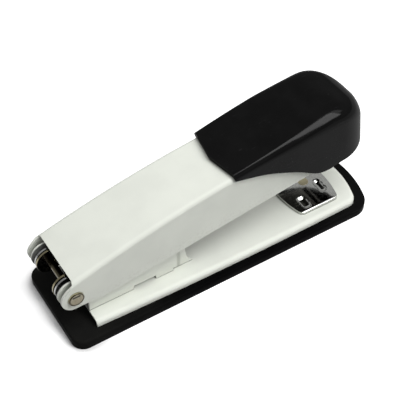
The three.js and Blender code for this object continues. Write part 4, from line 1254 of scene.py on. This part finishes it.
def build_world():
    """A dim studio dome above a white backdrop that reaches a little above the horizon."""
    world = bpy.data.worlds.new("studio")
    bpy.context.scene.world = world
    world.use_nodes = True
    tree = Tree(world.node_tree)
    direction = tree.node("ShaderNodeTexCoord", output="Generated")
    up = tree.node("ShaderNodeSeparateXYZ", {}, {0: direction}, output="Z")
    level = HORIZON_LEVEL + up.between(*DOME_RISE) * (DOME_LEVEL - HORIZON_LEVEL)
    camera = tree.node("ShaderNodeLightPath", output="Is Camera Ray")
    backdrop = seen(tree) * (1 - up.between(*BACKDROP_TOP))
    strength = level.most(backdrop).most(camera)
    back = tree.node("ShaderNodeBackground", {}, {"Color": opaque(FULL_LIGHT), "Strength": strength})
    tree.show("ShaderNodeOutputWorld", back.socket)


def build_lamps():
    """The two soft boxes that light the stapler."""
    for name, place, target, size, watts in LAMPS:
        data = bpy.data.lights.new(name, "AREA")
        data.shape = "RECTANGLE"
        data.size, data.size_y = size
        data.energy = watts
        lamp = bpy.data.objects.new(name, data)
        lamp.location = place
        aim(lamp, target)
        bpy.context.scene.collection.objects.link(lamp)


class STAPLER_OT_stage(bpy.types.Operator):
    """Sets the camera, the floor, the studio dome and the lamps"""
    bl_idname = "stapler.stage"
    bl_label = "Stage"

    def execute(self, context):
        build_camera()
        build_floor()
        build_world()
        build_lamps()
        context.scene.view_settings.view_transform = "Standard"
        return {"FINISHED"}


STEPS = (STAPLER_OT_finishes, STAPLER_OT_stage, STAPLER_OT_pad, STAPLER_OT_deck, STAPLER_OT_bracket,
         STAPLER_OT_hinge, STAPLER_OT_anvil, STAPLER_OT_magazine, STAPLER_OT_driver, STAPLER_OT_cover,
         STAPLER_OT_cap)


class STAPLER_PT_pieces(bpy.types.Panel):
    """Lists the steps that build the stapler"""
    bl_idname = "STAPLER_PT_pieces"
    bl_label = "Desk stapler"
    bl_space_type = "VIEW_3D"
    bl_region_type = "UI"
    bl_category = "Stapler"

    def draw(self, context):
        """One button for each step."""
        for step in STEPS:
            self.layout.operator(step.bl_idname)


GROUPS = {"stapler_base": BaseSizes, "stapler_swinging": SwingingSizes, "stapler_colours": Colours}


def register():
    """Adds the sizes, the colours, the operators and the panel."""
    for name, group in GROUPS.items():
        bpy.utils.register_class(group)
        setattr(bpy.types.Scene, name, PointerProperty(type=group))
    for made in (*STEPS, STAPLER_PT_pieces):
        bpy.utils.register_class(made)


def unregister():
    """Takes away what register adds."""
    for made in reversed((*STEPS, STAPLER_PT_pieces)):
        bpy.utils.unregister_class(made)
    for name, group in GROUPS.items():
        delattr(bpy.types.Scene, name)
        bpy.utils.unregister_class(group)


def main():
    """Builds everything in order."""
    register()
    for step in STEPS:
        slug = step.bl_idname.split(".")[1]
        getattr(bpy.ops.stapler, slug)()


if __name__ == "__main__":
    main()
